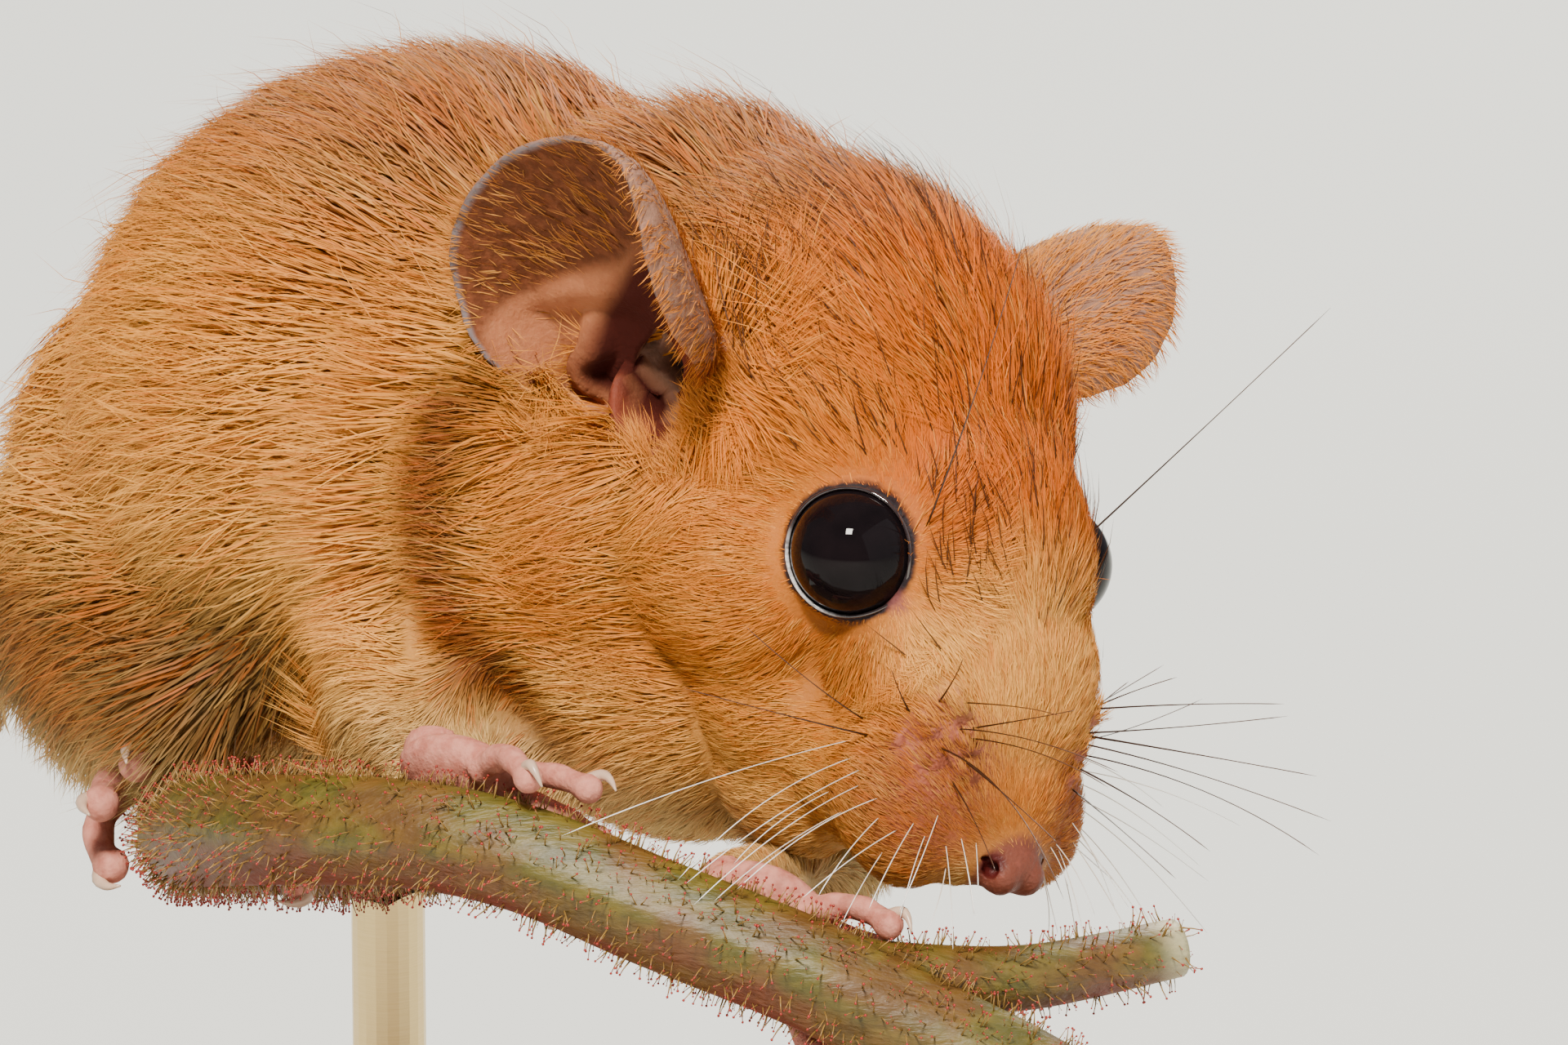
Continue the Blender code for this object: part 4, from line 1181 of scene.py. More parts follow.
def kept(places):
    """Share of the hair that is there: none on the nose and lids, less on the whisker pads."""
    head = within(places, HEAD)
    keep = np.interp(nearest(head, [NOSE_PAD_AT]), [1.15, 1.5, 2.0], [0.0, 0.5, 1.0])
    keep *= np.interp(nearest(head, EYES), [2.48, 2.75], [0.0, 1.0])
    keep *= np.interp(nearest(head, both(NOSTRIL_AT)), [0.6, 0.9], [0.0, 1.0])
    keep *= np.interp(nearest(head, both(PAD_AT)), [0.5, 1.5, 2.6], [0.5, 0.7, 1.0])
    return keep * np.interp(nearest(head, both(LOW_PAD_AT)), [0.6, 2.2], [0.45, 1.0])


def roots_on(triangles, normals, density, count, rng):
    """Places spread over the triangles by area and density, with their normals."""
    cross = np.cross(triangles[:, 1] - triangles[:, 0], triangles[:, 2] - triangles[:, 0])
    area = np.linalg.norm(cross, axis=1) * density(triangles.mean(axis=1))
    chosen = rng.choice(len(triangles), size=count, p=area / area.sum())
    one, two = rng.random(count), rng.random(count)
    flip = one + two > 1
    one[flip], two[flip] = 1 - one[flip], 1 - two[flip]
    shares = np.stack([1 - one - two, one, two], axis=1)[:, :, None]
    return (triangles[chosen] * shares).sum(axis=1), unit((normals[chosen] * shares).sum(axis=1))


class EarSides:
    """Tells on which side of an ear's flap a place near it lies."""

    def __init__(self):
        grids = [ear_grid(side) for side in (-1, 1)]
        self.places = np.concatenate([places.reshape(-1, 3) for places, faces in grids])
        self.faces = np.concatenate([faces.reshape(-1, 3) for places, faces in grids])
        self.rows = np.tile(np.arange(EAR_ROWS), 2 * EAR_COLUMNS) / (EAR_ROWS - 1)
        self.tree = tree_of(self.places)

    def near(self, places):
        """Side, distance and share of the way out of the nearest place on the flaps."""
        found = [self.tree.find(place) for place in places]
        spots = np.array([i for place, i, distance in found])
        away = np.array([distance for place, i, distance in found])
        side = ((places - self.places[spots]) * self.faces[spots]).sum(axis=1)
        return side, away, self.rows[spots]

    def clear(self, hairs):
        """False for hairs that start inside a cup, lie over it or pass through its flap."""
        roots, middles, tips = hairs.roots, hairs.stations[:, 4], hairs.stations[:, 6]
        clear = np.ones(len(roots), bool)
        canals = [HEAD @ Vector(place) for place in both(EAR_ROOT)]
        close = np.flatnonzero(nearest(roots, canals) < 15)
        side, away, out = self.near(roots[close])
        tip_side, tip_away, tip_out = self.near(tips[close])
        middle_side, middle_away, middle_out = self.near(middles[close])
        inside = (side > -0.4) & (away < 2.8) & (out < 0.94)
        through = (side * tip_side < 0) & (np.minimum(away, tip_away) < 2.0) & (out < 0.97)
        over = (tip_side > 0.1) & (tip_away < 2.6) & (tip_out < 0.92)
        over |= (middle_side > 0.1) & (middle_away < 2.6) & (middle_out < 0.92)
        clear[close] = ~(inside | through | over)
        return clear


def gathered(roots, tips, middles, spacing, pull, rng):
    """Draws the tips of neighbouring hairs together, as they gather into small locks."""
    count = len(roots)
    leaders = rng.choice(count, size=max(4, count // spacing), replace=False)
    tree = tree_of(roots[leaders])
    leader = leaders[[tree.find(place)[1] for place in roots]]
    share = (pull * rng.uniform(0.2, 1.3, count)[leader])[:, None]
    shift = tips[leader] - tips + (roots - roots[leader]) * 0.4
    return tips + shift * share, middles + shift * share * 0.35, leader


class Hairs:
    """Thin tapering hairs lying along the skin: three stations and a tip each."""

    def __init__(
        self, roots, normals, way, length, rng, wide, lift, spacing=22, pull=0.34, bend=0.12, turn=0.17
    ):
        count = len(roots)
        side = np.cross(normals, way)
        turned = rng.normal(0, turn, count)[:, None]
        way = unit(way * np.cos(turned) + side * np.sin(turned))
        side = np.cross(normals, way)
        length = (length * rng.uniform(0.68, 1.15, count))[:, None]
        lift = np.radians(lift * rng.uniform(0.55, 1.5, count))[:, None]
        curve = rng.normal(0, bend, count)[:, None]
        bury = 0.02 + 0.02 * length

        def at(t):
            rise = np.sin(lift) * (t - 0.42 * t * t) - length * t * t / 70.0
            along_skin = way * t * np.cos(lift) + normals * rise + side * curve * t * t
            return roots - normals * bury + along_skin * length

        tips, middles, leader = gathered(roots, at(1.0), at(0.62), spacing, pull, rng)
        lean = rng.normal(0, 0.5, count)[:, None]
        across = unit(side * np.cos(lean) + normals * np.sin(lean))
        half = (wide * rng.uniform(0.75, 1.3, count))[:, None] / 2
        rows = [at(0.0) - across * half * 0.8, at(0.0) + across * half * 0.8]
        rows += [at(0.25) - across * half, at(0.25) + across * half]
        rows += [middles - across * half * 0.72, middles + across * half * 0.72, tips]
        self.stations = np.stack(rows, axis=1)
        own = rng.random(count) * 0.5 + rng.random(count)[leader] * 0.5
        self.tone = np.clip(own, 0, 1)
        self.roots = roots

    def keep(self, chosen):
        self.stations = self.stations[chosen]
        self.tone = self.tone[chosen]
        self.roots = self.roots[chosen]

    def piece(self, name, look, unwrap, chosen=None, stations=WHOLE_HAIR):
        """One joined mesh of the chosen hairs, each a small patch at its root's place on the unwrap."""
        chosen = np.ones(len(self.roots), bool) if chosen is None else chosen
        stations = list(stations)
        each = len(stations)
        places = self.stations[chosen][:, stations].reshape(-1, 3)
        count = len(places) // each
        pattern = [[k, k + 1, k + 3] for k in range(0, each - 3, 2)] + [[each - 3, each - 2, each - 1]]
        pattern += [[k, k + 3, k + 2] for k in range(0, each - 3, 2)]
        corners = (np.array(pattern)[None] + each * np.arange(count)[:, None, None]).reshape(-1)
        tip = np.tile(np.array([0, 0, 0.25, 0.25, 0.62, 0.62, 1.0])[stations], count)
        across = np.tile(np.array([-0.5, 0.5, -0.5, 0.5, -0.4, 0.4, 0.0])[stations], count) * PATCH
        spots = np.repeat(unwrap(self.roots[chosen]), each, axis=0) * 0.98 + 0.01
        spots = spots + np.stack([across, tip * PATCH], axis=1)
        mesh = bpy.data.meshes.new(name)
        mesh.vertices.add(len(places))
        mesh.vertices.foreach_set("co", places.astype(np.float32).ravel())
        mesh.loops.add(len(corners))
        mesh.loops.foreach_set("vertex_index", corners.astype(np.int32))
        mesh.polygons.add(len(corners) // 3)
        mesh.polygons.foreach_set("loop_start", np.arange(0, len(corners), 3, dtype=np.int32))
        mesh.update(calc_edges=True)
        write_values(mesh, "tip", tip)
        write_values(mesh, "tone", np.repeat(self.tone[chosen], each))
        layer = mesh.uv_layers.new(name="OFBake")
        layer.data.foreach_set("uv", spots[corners].astype(np.float32).ravel())
        return set_down(linked(name, mesh), name, look)


def round_unwrap(matrix):
    """Unwrap of a rounded form: turn about the frame's x axis, and angle from it."""

    def unwrap(places):
        local = within(places, matrix)
        turn = np.arctan2(local[:, 1], local[:, 2]) / (2 * np.pi) + 0.5
        fall = np.arccos(np.clip(local[:, 0] / np.linalg.norm(local, axis=1), -1, 1)) / np.pi
        return np.stack([turn, fall], axis=1)

    return unwrap


def tail_table():
    """Place, way on, up and side at even steps of the tail's length."""
    shares = [k / TAIL_STEPS for k in range(TAIL_STEPS + 1)]
    return np.array([[list(part) for part in along(TAIL_ROUTE, share)] for share in shares])


def tail_unwrap(places):
    """Unwrap of the tail: turn round it, and share of its length."""
    table = tail_table()
    tree = tree_of(table[:, 0])
    spots = np.array([tree.find(place)[1] for place in places])
    off = places - table[spots, 0]
    turn = np.arctan2((off * table[spots, 3]).sum(axis=1), (off * table[spots, 2]).sum(axis=1))
    return np.stack([turn / (2 * np.pi) + 0.5, spots / TAIL_STEPS], axis=1)


def coat_pieces(furred, look, ears):
    """The coat of head, neck, body and limbs, a few joined meshes over the skin."""
    rng = np.random.default_rng(5)
    triangles, normals = triangle_arrays(furred.data)

    def density(places):
        length = coat_length(places)
        on_tail = within(places, TAIL_START)[:, 0] > 0
        return np.maximum(length, 0.8) ** -0.8 * kept(places) * ~on_tail

    roots, facing = roots_on(triangles, normals, density, COAT_STRANDS, rng)
    length = coat_length(roots)
    lift = np.interp(length, [0.5, 1.5, 4.0, 6.0], [15, 14, 15, 18])
    hairs = Hairs(roots, facing, lie_of_coat(roots, facing), length, rng, 0.024 + 0.009 * length, lift)
    hairs.keep(ears.clear(hairs))
    head = within(hairs.roots, HEAD)
    body = within(hairs.roots, BODY)
    is_head = (head[:, 0] > -10) & (head[:, 2] > -12) & (body[:, 0] > 9)
    face = is_head & (head[:, 0] > 2.5)
    low = (body[:, 2] < -6.5) & ~is_head
    neck = (body[:, 0] > 7.5) & ~is_head & ~low
    rest = ~is_head & ~low & ~neck
    for name, region, local, middle, stations in (
        ("coat_face_", face, head, HEAD, SHORT_HAIR),
        ("coat_head_", is_head & ~face, head, HEAD, WHOLE_HAIR),
        ("coat_neck_", neck, body, BODY, WHOLE_HAIR),
        ("coat_belly_", low, body, BODY, WHOLE_HAIR),
        ("coat_back_", rest, body, BODY, WHOLE_HAIR),
    ):
        left = local[:, 1] > 0
        for word, half in (("right", ~left), ("left", left)):
            hairs.piece(name + word, look, round_unwrap(middle), region & half, stations)


def tail_piece(look):
    rng = np.random.default_rng(8)
    share = rng.random(TAIL_STRANDS) ** 0.92
    frames = tail_table()[(share * TAIL_STEPS).astype(int)]
    angle = rng.random(TAIL_STRANDS) * 2 * np.pi
    out = frames[:, 2] * np.cos(angle)[:, None] + frames[:, 3] * np.sin(angle)[:, None]
    reach = np.interp(share, np.linspace(0, 1, len(TAIL_COAT)), TAIL_COAT)
    roots = frames[:, 0] + out * (reach * TAIL_SKIN)[:, None]
    length = reach * 1.55 * np.interp(share, [0, 0.9, 1.0], [1.0, 1.0, 0.7])
    lift = np.interp(share, [0, 0.85, 1.0], [30, 30, 16])
    hairs = Hairs(roots, out, frames[:, 1], length, rng, np.full(TAIL_STRANDS, 0.15), lift)
    hairs.piece("coat_tail", look, tail_unwrap)


def ear_hair(side, name, look):
    """Short fine hair on both faces of an ear; inside, only on the thin upper flap and the rim."""
    rng = np.random.default_rng(31 + side)
    grid, faces = ear_grid(side)
    turn = rng.random(EAR_STRANDS) * (EAR_COLUMNS - 1)
    back = rng.random(EAR_STRANDS) < 0.52
    out = 0.2 + 0.79 * np.where(back, *rng.random((2, EAR_STRANDS)))
    angle = rim_angle(turn / (EAR_COLUMNS - 1))
    shelf = np.interp(angle, *SHELF)
    flap = (out > shelf + 0.04) & (angle > -24) & (angle < 70) & (rng.random(EAR_STRANDS) < 0.42)
    rim = (out > 0.93) & (angle > 40) & (angle < 76)
    chosen = (back & (angle > -62) & (angle < 84)) | flap | rim
    turn, back, out = turn[chosen], back[chosen], out[chosen]
    i = turn.astype(int)
    steps = out * (EAR_ROWS - 1)
    k = steps.astype(int)
    roots = grid[i, k] + (turn - i)[:, None] * (grid[np.minimum(i + 1, EAR_COLUMNS - 1), k] - grid[i, k])
    roots = roots + (steps - k)[:, None] * (grid[i, np.minimum(k + 1, EAR_ROWS - 1)] - grid[i, k])
    ahead = grid[i, np.minimum(k + 1, EAR_ROWS - 1)] - grid[i, np.maximum(k - 1, 0)]
    facing = np.where(back[:, None], -faces[i, k], faces[i, k])
    roots = roots + facing * np.interp(out, *EAR_HALF)[:, None]
    length = np.where(back, 1.35, 1.15) * np.interp(out, [0.2, 0.6, 1.0], [1.4, 1.0, 0.75])
    wide = np.full(len(roots), 0.036)
    lift = np.full(len(roots), 13.0)

    def unwrap(places):
        return np.stack([turn / EAR_COLUMNS, out * 0.45 + np.where(back, 0.5, 0.0)], axis=1)

    # Inside the cup the hair sweeps to the rear as well as out
    rear = np.array(head_way((-0.7, 0, -0.45)))
    ahead = unit(ahead) + np.where(back, 0.15, 0.75)[:, None] * rear
    way = flattened(ahead, facing)
    hairs = Hairs(roots, facing, way, length, rng, wide, lift, spacing=9, pull=0.4, bend=0.2, turn=0.3)
    hairs.piece(name, look, unwrap)


def tufts(furred, look):
    """Longer hair at the root of each ear, standing up in front of it and sweeping in from below."""
    rng = np.random.default_rng(23)
    tree = BVHTree.FromObject(furred, bpy.context.evaluated_depsgraph_get())
    roots, facing, ways, lengths = [], [], [], []
    for side in (-1, 1):
        for middle, spread, way, length, count in TUFTS:
            for k in range(count):
                off = rng.normal(size=3) * np.array(spread)
                at = np.array(middle) + off
                spot, normal = tree.find_nearest(beside(at, side))[:2]
                heading = np.array(way) + rng.normal(0, 0.2, 3)
                roots.append(spot)
                facing.append(normal)
                ways.append(head_way(heading, side))
                lengths.append(length)
    roots, facing, ways = np.array(roots), np.array(facing), np.array(ways)
    flat = flattened(ways, facing)
    rise = np.degrees(np.arcsin(np.clip((unit(ways) * facing).sum(axis=1), 0.05, 0.9)))
    lengths = np.array(lengths)
    wide = 0.026 + 0.006 * lengths
    hairs = Hairs(roots, facing, flat, lengths, rng, wide, rise, spacing=12, pull=0.45, bend=0.2, turn=0.12)
    hairs.piece("ear_tufts", look, round_unwrap(HEAD))


def standing_hairs(
    furred, name, look, density, count, longer, lift, wide, seed, ears, turn=0.3, straight=0.0
):
    """Longer single hairs that stand out of the coat, some of them running straight back on the head."""
    rng = np.random.default_rng(seed)
    triangles, normals = triangle_arrays(furred.data)
    roots, facing = roots_on(triangles, normals, density, count, rng)
    back = np.array(head_way((-1, 0, 0)))
    way = flattened(lie_of_coat(roots, facing) * (1 - straight) + back * straight, facing)
    length = coat_length(roots) * longer + 0.8
    wide, lift = np.full(count, wide), np.full(count, lift)
    hairs = Hairs(roots, facing, way, length, rng, wide, lift, pull=0.03, turn=turn)
    hairs.keep(ears.clear(hairs))
    hairs.piece(name, look, round_unwrap(BODY))


def pale_places(places):
    """Where pale guard hairs stand: the crown, the nape and the back."""
    head = within(places, HEAD)
    crown = (head[:, 0] < 2) & (head[:, 0] > -18) & (head[:, 2] > 1)
    back = (within(places, BODY)[:, 2] > -6) & (head[:, 0] < -12)
    return crown * 1.3 + back * 0.8


def dark_places(places):
    """Where dark guard hairs lie: the forehead down to the bridge, the temples and between the ears."""
    head = within(places, HEAD)
    top = soft(head[:, 2], -0.5, 2.0) * soft(head[:, 0], -15, -9) * (1 - soft(head[:, 0], 3.5, 6))
    return top * (nearest(head, EYES) > 3.4)


# Eyes, whiskers and claws
def eyeball(side, name, look):
    """Ball with a slightly raised clear front."""
    bm = bmesh.new()
    bmesh.ops.create_uvsphere(bm, u_segments=72, v_segments=48, radius=EYE_R)
    looks = sided(EYE_LOOKS, side).normalized()
    for vert in bm.verts:
        front = max(0.0, vert.co.normalized().dot(looks))
        vert.co *= 1 + 0.035 * front**4
        vert.co = HEAD @ (vert.co + eye_centre(side))
    word = "right" if side < 0 else "left"
    return set_down(object_of(bm, name), name, look, ["eye_" + word])


def wet_rim(side, name, look):
    """Film of moisture where the ball meets the lids."""
    bm = bmesh.new()
    edge = [HEAD @ (eye_centre(side) + way * (EYE_R + FILM_AWAY)) for way in lid_edge(side, LIDS_OPEN, 96)]
    add_tube(bm, edge, [FILM_R] * len(edge), sides=8, closed=True)
    return set_down(object_of(bm, name), name, look)


def add_whisker(bm, tips, root, way, length, droop, radius, rng):
    """Tapering bristle from a place on the skin, its way and droop in the head's frame."""
    steps = 14
    start = len(bm.verts)
    turn = HEAD.to_3x3()
    bend = turn @ (droop + Vector(rng.normal(0, 0.07, 3)))
    points = []
    for k in range(steps + 1):
        t = k / steps
        points.append(root + turn @ way * length * (t - 0.02) + bend * length * t * t)
    radii = [radius * (1 - 0.92 * (k / steps)) for k in range(steps + 1)]
    add_tube(bm, points, radii, sides=5, steps=1)
    tips += [min(1.0, (n // 5) / steps) for n in range(len(bm.verts) - start)]


def whiskers(name, rows, radius, look, seed, pad_skin, loose):
    """Bristles of both sides: rows of (root, way, length, droop), mirrored with small differences."""
    rng = np.random.default_rng(seed)
    bm = bmesh.new()
    tips = []
    for side in (-1, 1):
        for root, way, length, droop in rows:
            at = pad_skin.find_nearest(beside(root, side))[0]
            heading = sided(way, side).normalized() + Vector(rng.normal(0, loose, 3))
            bend = sided(droop, side)
            length *= rng.uniform(1 - 2 * loose, 1 + 2 * loose)
            add_whisker(bm, tips, at, heading, length, bend, radius * rng.uniform(0.75, 1.1), rng)
    obj = object_of(bm, name)
    write_values(obj.data, "tip", tips)
    return set_down(obj, name, look)


# Perch
def stem_mesh():
    """Stem with shallow ridges along it, and the stub of a side shoot."""
    bm = bmesh.new()
    rings = []
    sides = 40
    steps = 16 * (len(STEM_ROUTE) - 1)
    for i in range(steps + 1):
        share = i / steps
        place, way, up, side = along(STEM_ROUTE, share)
        ring = []
        for k in range(sides):
            a = 2 * math.pi * k / sides
            ridge = 1 + 0.035 * math.cos(5 * a + share * 2.5) + 0.012 * math.sin(9 * a + 30 * share)
            ridge += 0.02 * math.sin(14 * share + 1.0)
            ring.append(bm.verts.new(place + around(up, side, a) * STEM_R * ridge * 0.985))
        rings.append(ring)
    join_rings(bm, rings)
    stem = object_of(bm, "stem")
    bm = bmesh.new()
    add_tube(bm, SHOOT_ROUTE, SHOOT_RADII, sides=24, steps=14)
    stem = combine(stem, [object_of(bm, "shoot")], "UNION")
    places, normals = vertex_arrays(stem.data)
    # How far each point faces down, for the painted shade under the stem
    write_values(stem.data, "under", soft(-normals[:, 2], -0.1, 0.8))
    ends = (STEM_ROUTE[0], STEM_ROUTE[-1], SHOOT_ROUTE[-1])
    write_values(stem.data, "cut", 1 - soft(nearest(places, ends), 0.5, 1.9))
    return stem


def stem_hairs(stem, look):
    """Gland-tipped hairs of several sizes, scattered over the stem by a node tree."""
    bm = bmesh.new()
    add_tube(bm, [(0, 0, -0.1), (0.03, 0, 0.4), (0, 0, 0.75)], [0.045, 0.03, 0.02], sides=4, steps=1)
    bmesh.ops.create_icosphere(bm, subdivisions=1, radius=0.065, matrix=Matrix.Translation((0, 0, 0.78)))
    one_hair = object_of(bm, "one hair")
    write_values(one_hair.data, "tip", [min(1.0, max(0.0, vert.co.z)) for vert in one_hair.data.vertices])
    tree = bpy.data.node_groups.new("Hairs over a stem", "GeometryNodeTree")
    sockets = {}
    for name, way, kind in (
        ("Geometry", "INPUT", "NodeSocketGeometry"),
        ("Hairs per square unit", "INPUT", "NodeSocketFloat"),
        ("Seed", "INPUT", "NodeSocketInt"),
        ("Geometry", "OUTPUT", "NodeSocketGeometry"),
    ):
        sockets[name] = tree.interface.new_socket(name, in_out=way, socket_type=kind)
    kinds = {
        "start": "NodeGroupInput",
        "spread": "GeometryNodeDistributePointsOnFaces",
        "hair": "GeometryNodeObjectInfo",
        "turn": "FunctionNodeRandomValue",
        "sizes": "FunctionNodeRandomValue",
        "tilt": "FunctionNodeRotateRotation",
        "place": "GeometryNodeInstanceOnPoints",
        "real": "GeometryNodeRealizeInstances",
        "paint": "GeometryNodeSetMaterial",
        "end": "NodeGroupOutput",
    }
    nodes = {name: tree.nodes.new(kind) for name, kind in kinds.items()}
    nodes["turn"].data_type = "FLOAT_VECTOR"
    nodes["tilt"].rotation_space = "LOCAL"
    for name, socket, value in (
        ("hair", "Object", one_hair),
        ("turn", "Min", (-0.5, -0.5, -3.1)),
        ("turn", "Max", (0.5, 0.5, 3.1)),
        ("sizes", 2, 0.3),
        ("sizes", 3, 0.95),
        ("paint", "Material", look),
    ):
        nodes[name].inputs[socket].default_value = value
    for source, output, target, socket in (
        ("start", "Geometry", "spread", "Mesh"),
        ("start", "Hairs per square unit", "spread", "Density"),
        ("start", "Seed", "spread", "Seed"),
        ("spread", "Points", "place", "Points"),
        ("hair", "Geometry", "place", "Instance"),
        ("spread", "Rotation", "tilt", "Rotation"),
        ("turn", "Value", "tilt", "Rotate By"),
        ("tilt", "Rotation", "place", "Rotation"),
        ("sizes", 1, "place", "Scale"),
        ("place", "Instances", "real", "Geometry"),
        ("real", "Geometry", "paint", "Geometry"),
        ("paint", "Geometry", "end", "Geometry"),
    ):
        tree.links.new(nodes[source].outputs[output], nodes[target].inputs[socket])
    carrier = linked("carrier", stem.data.copy())
    mod = carrier.modifiers.new("Hairs", "NODES")
    mod.node_group = tree
    mod[sockets["Hairs per square unit"].identifier] = 5.5
    mod[sockets["Seed"].identifier] = 4
    mesh = evaluated_mesh(carrier)
    bpy.data.objects.remove(one_hair, do_unlink=True)
    return set_down(linked("stem_hairs", mesh), "stem_hairs", look)


# Putting it together
def marked(skin, ears, feet):
    """Writes on the skin where it is ear, flap, canal, outer face or paw, and how far out on the ear."""
    names = ("ear", "out", "flap", "canal", "outer", "paw")
    values = {key: np.zeros(len(skin.data.vertices), np.float32) for key in names}
    paws = BVHTree.FromPolygons(*feet)
    for vert in skin.data.vertices:
        place, number, distance = ears.tree.find(vert.co)
        if distance < 1.1:
            out = ears.rows[number]
            angle = rim_angle(number // EAR_ROWS % EAR_COLUMNS / (EAR_COLUMNS - 1))
            shelf = float(np.interp(angle, *SHELF))
            inner = np.dot(np.array(vert.co) - ears.places[number], ears.faces[number]) > 0
            window = soft(angle, -40, -15) * (1 - soft(angle, 68, 80))
            lip = EAR_LIP[0] + EAR_LIP[1] * max(0.0, angle - 62)
            values["ear"][vert.index] = 1 - soft(distance, 0.75, 1.1)
            values["out"][vert.index] = out * soft(angle, -42, -28)
            values["flap"][vert.index] = soft(out, shelf - 0.03, shelf + 0.07) * window
            # Where the skin gets painted shade: by the canal and at the front end of the cup
            dark = max(1 - soft(out, lip - 0.12, lip - 0.02), 1 - soft(angle, -50, -38))
            values["canal"][vert.index] = inner * dark
            values["outer"][vert.index] = not inner
        if paws.find_nearest(vert.co, 0.12)[0]:
            values["paw"][vert.index] = 1
    for key, numbers in values.items():
        write_values(skin.data, key, numbers)


def dressed_animal():
    """Skin, coat, ears, paws, claws and eyes. Gives back the furred skin, which the whiskers grow from."""
    coat = coat_look("ginger coat")
    furred = combine(head_skin(), [body_skin()], "UNION")
    for side in (-1, 1):
        furred = combine(furred, [room_in_cup(side)], "DIFFERENCE")
        furred = combine(furred, [pit(side)], "DIFFERENCE")
    ears = EarSides()
    coat_pieces(furred, coat, ears)
    tail_piece(coat)
    pale = coat_look("pale guard hair")
    standing_hairs(furred, "guard_hairs_pale", pale, pale_places, 3200, 1.35, 22.0, 0.036, 17, ears)
    dark = coat_look("dark guard hair", share=0.93)
    shape = {"turn": 0.14, "straight": 0.75}
    standing_hairs(furred, "guard_hairs_dark", dark, dark_places, 900, 1.2, 20.0, 0.05, 19, ears, **shape)
    ear_coat = coat_look("ear hair", share=0.25, tint=(0.5, 0.22, 0.055))
    for side, word in ((-1, "right"), (1, "left")):
        ear_hair(side, "ear_hair_" + word, ear_coat)
    tufts(furred, ear_coat)
    pad_skin = BVHTree.FromObject(furred, bpy.context.evaluated_depsgraph_get())
    claws = bmesh.new()
    paws = [paw(*measures, wrist, claws) for measures, wrist in zip(PAWS, WRISTS)]
    set_down(object_of(claws, "claws"), "claws", claw_look())
    places = []
    faces = []
    for flesh in paws:
        first = len(places)
        places += [vert.co.copy() for vert in flesh.data.vertices]
        faces += [[first + i for i in face.vertices] for face in flesh.data.polygons]
    skin = combine(furred, [ear_shell(-1), ear_shell(1), *paws], "UNION")
    marked(skin, ears, (places, faces))
    flesh_nodes = [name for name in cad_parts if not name.startswith(("eye_", "perch_", "stand_"))]
    set_down(skin, "skin", skin_look(), flesh_nodes)
    ball, wet = eye_look(), wet_look()
    for side, word in ((-1, "right"), (1, "left")):
        eyeball(side, "eyeball_" + word, ball)
        wet_rim(side, "wet_rim_" + word, wet)
    return pad_skin


# Whiskers in the head's frame, on the left side: root, way, length, and how they bend towards their end
DARK_WHISKERS = (
    ((6.8, 3.4, -0.1), (5.2, 2.0, 7.0), 9.0, (0, 0, -0.06)),
    ((7.6, 3.0, -0.5), (4.2, 2.0, 6.1), 7.7, (0, 0, -0.05)),
    ((7.3, 3.2, -0.9), (6.3, 2.5, 7.5), 10.2, (0, 0, -0.04)),
    ((7.8, 2.9, -0.9), (6.3, 2.5, 6.4), 9.2, (0.03, 0, -0.06)),
    ((7.5, 3.6, -1.8), (5.8, 2.0, 5.2), 10.5, (0.15, 0, -0.14)),
    ((8.1, 2.8, -1.7), (3.2, 1.0, 1.9), 6.6, (0.06, 0, -0.12)),
    ((8.4, 2.9, -2.6), (4.2, 1.5, 1.4), 4.7, (0.05, 0, -0.05)),
    ((6.0, 4.4, -1.6), (-0.85, 1.5, 1.2), 2.2, (0.1, 0, 0.1)),
    ((6.3, 3.9, -0.6), (0.7, 1.0, 2.9), 3.2, (0.1, 0, 0)),
    ((5.2, 5.0, -3.2), (-1.6, 4.0, 0.6), 6.0, (-0.12, 0.1, 0.02)),
    ((5.8, 4.9, -3.4), (-0.9, 5.0, -0.3), 7.0, (-0.12, 0.08, 0.04)),
    ((0.9, 3.9, 2.6), (-0.8, 1.2, 4.8), 12, (-0.02, 0.06, 0)),
)
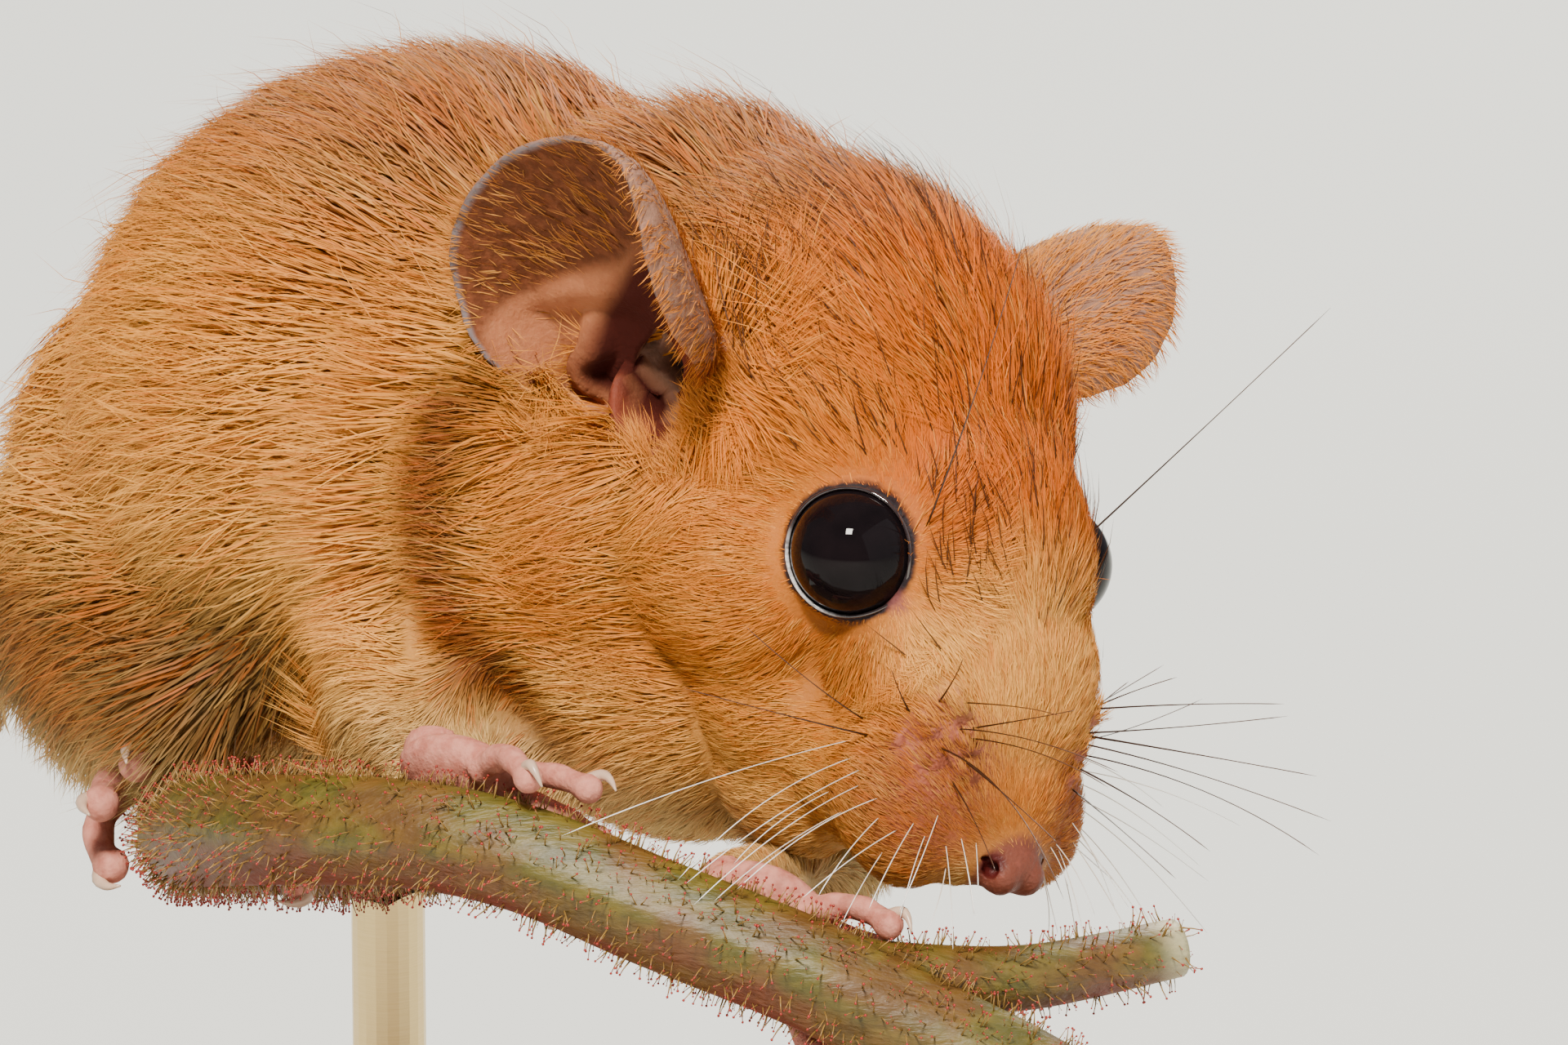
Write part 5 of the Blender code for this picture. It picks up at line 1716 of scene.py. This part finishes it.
PALE_WHISKERS = (
    ((5.6, 4.9, -4.0), (0.6, 7.0, -1.4), 9.5, (0.08, 0, -0.12)),
    ((6.2, 5.0, -4.3), (1.0, 7.0, -1.6), 9.0, (0.12, 0, -0.14)),
    ((6.8, 4.9, -4.2), (1.8, 7.0, -1.8), 8.6, (0.16, 0, -0.16)),
    ((7.2, 4.9, -4.5), (2.2, 7.0, -2.3), 8.2, (0.2, 0, -0.12)),
    ((7.9, 4.8, -4.3), (2.4, 6.5, -2.2), 7.2, (0.2, 0, -0.14)),
    ((8.4, 4.7, -4.6), (2.0, 4.6, -1.8), 6.0, (0.2, 0, -0.12)),
    ((9.0, 4.4, -4.6), (2.0, 3.6, -1.6), 4.9, (0.2, 0, -0.1)),
    ((9.0, 4.0, -4.2), (2.2, 2.6, -1.4), 4.2, (0.15, 0, -0.1)),
    ((9.3, 3.6, -4.4), (2.6, 1.8, -1.2), 3.8, (0.15, 0, -0.1)),
    ((8.9, 3.3, -3.9), (3.4, 1.3, -0.9), 4.2, (0.1, 0, -0.12)),
    ((9.6, 2.8, -4.4), (3.2, 0.9, -0.4), 3.4, (0.1, 0, -0.15)),
    ((9.9, 2.3, -3.9), (3.0, 0.9, -0.2), 2.8, (0.1, 0, -0.2)),
    ((10.3, 1.9, -3.7), (2.4, 0.9, -0.6), 2.0, (0.1, 0, -0.2)),
    ((10.4, 1.7, -4.6), (2.4, 0.8, -1.0), 1.9, (0, 0, -0.2)),
    ((10.0, 2.4, -5.0), (2.4, 0.8, -1.6), 2.4, (0, 0, -0.2)),
    ((7.4, 4.4, -5.4), (1.0, 4.0, -3.4), 5.6, (0.1, 0, 0)),
    ((6.4, 4.2, -5.6), (0.0, 4.5, -3.2), 6.4, (0.1, 0, 0)),
    ((8.8, 3.8, -5.4), (1.8, 2.2, -2.4), 3.6, (0.1, 0, 0)),
)


def floor():
    bm = bmesh.new()
    bmesh.ops.create_grid(bm, x_segments=1, y_segments=1, size=2.0)
    plane = object_of(bm, "floor")
    plane.data.materials.append(floor_look())


def light(name, at, size, power, colour):
    """Soft square light that faces the animal's head."""
    lamp = bpy.data.lights.new(name, "AREA")
    lamp.shape = "SQUARE"
    lamp.size = size
    lamp.energy = power
    lamp.color = colour
    obj = linked(name, lamp)
    obj.location = Vector(at) * MM
    target = Vector(LOOKS_AT) * MM
    obj.rotation_euler = (target - obj.location).to_track_quat("-Z", "Y").to_euler()


def studio():
    floor()
    world = bpy.data.worlds.new("studio")
    bpy.context.scene.world = world
    world.use_nodes = True
    background = world.node_tree.nodes["Background"]
    background.inputs["Color"].default_value = (0.92, 0.96, 1.0, 1.0)
    background.inputs["Strength"].default_value = 0.24
    light("key light", (-70, -430, 600), 0.13, 12.0, (1.0, 0.94, 0.84))
    light("fill light", (560, -300, 240), 0.9, 1.8, (0.95, 0.97, 1.0))
    light("rim light", (120, 520, 480), 0.4, 7.0, (1.0, 0.97, 0.9))


def camera():
    data = bpy.data.cameras.new("camera")
    made = linked("camera", data)
    up = math.radians(CAMERA_UP)
    back = Vector((0, -math.cos(up), math.sin(up)))
    made.location = (Vector(LOOKS_AT) + back * CAMERA_AWAY) * MM
    made.rotation_euler = (math.radians(90 - CAMERA_UP), 0, 0)
    data.sensor_width = 36.0
    data.lens = data.sensor_width * CAMERA_AWAY / (IMAGE_WIDE / PIXELS_PER_MM)
    data.clip_start = 0.01
    bpy.context.scene.camera = made


camera()
studio()
pad_skin = dressed_animal()
dark_bristle = whisker_look("dark bristle", (0.02, 0.007, 0.004), (0.07, 0.025, 0.012))
pale_bristle = whisker_look("pale bristle", (0.6, 0.5, 0.4), (0.9, 0.88, 0.84))
whiskers("whiskers_dark", DARK_WHISKERS, 0.043, dark_bristle, 3, pad_skin, 0.04)
whiskers("whiskers_pale", PALE_WHISKERS, 0.015, pale_bristle, 9, pad_skin, 0.15)
stem = stem_mesh()
stem_hairs(stem, gland_look())
set_down(stem, "stem", stem_look(), ["perch_stem"])
wood = wood_look()
brass = brass_look()
for name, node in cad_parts.items():
    if name.startswith("stand_"):
        node.data.materials.clear()
        node.data.materials.append(wood if name == "stand_base" else brass)
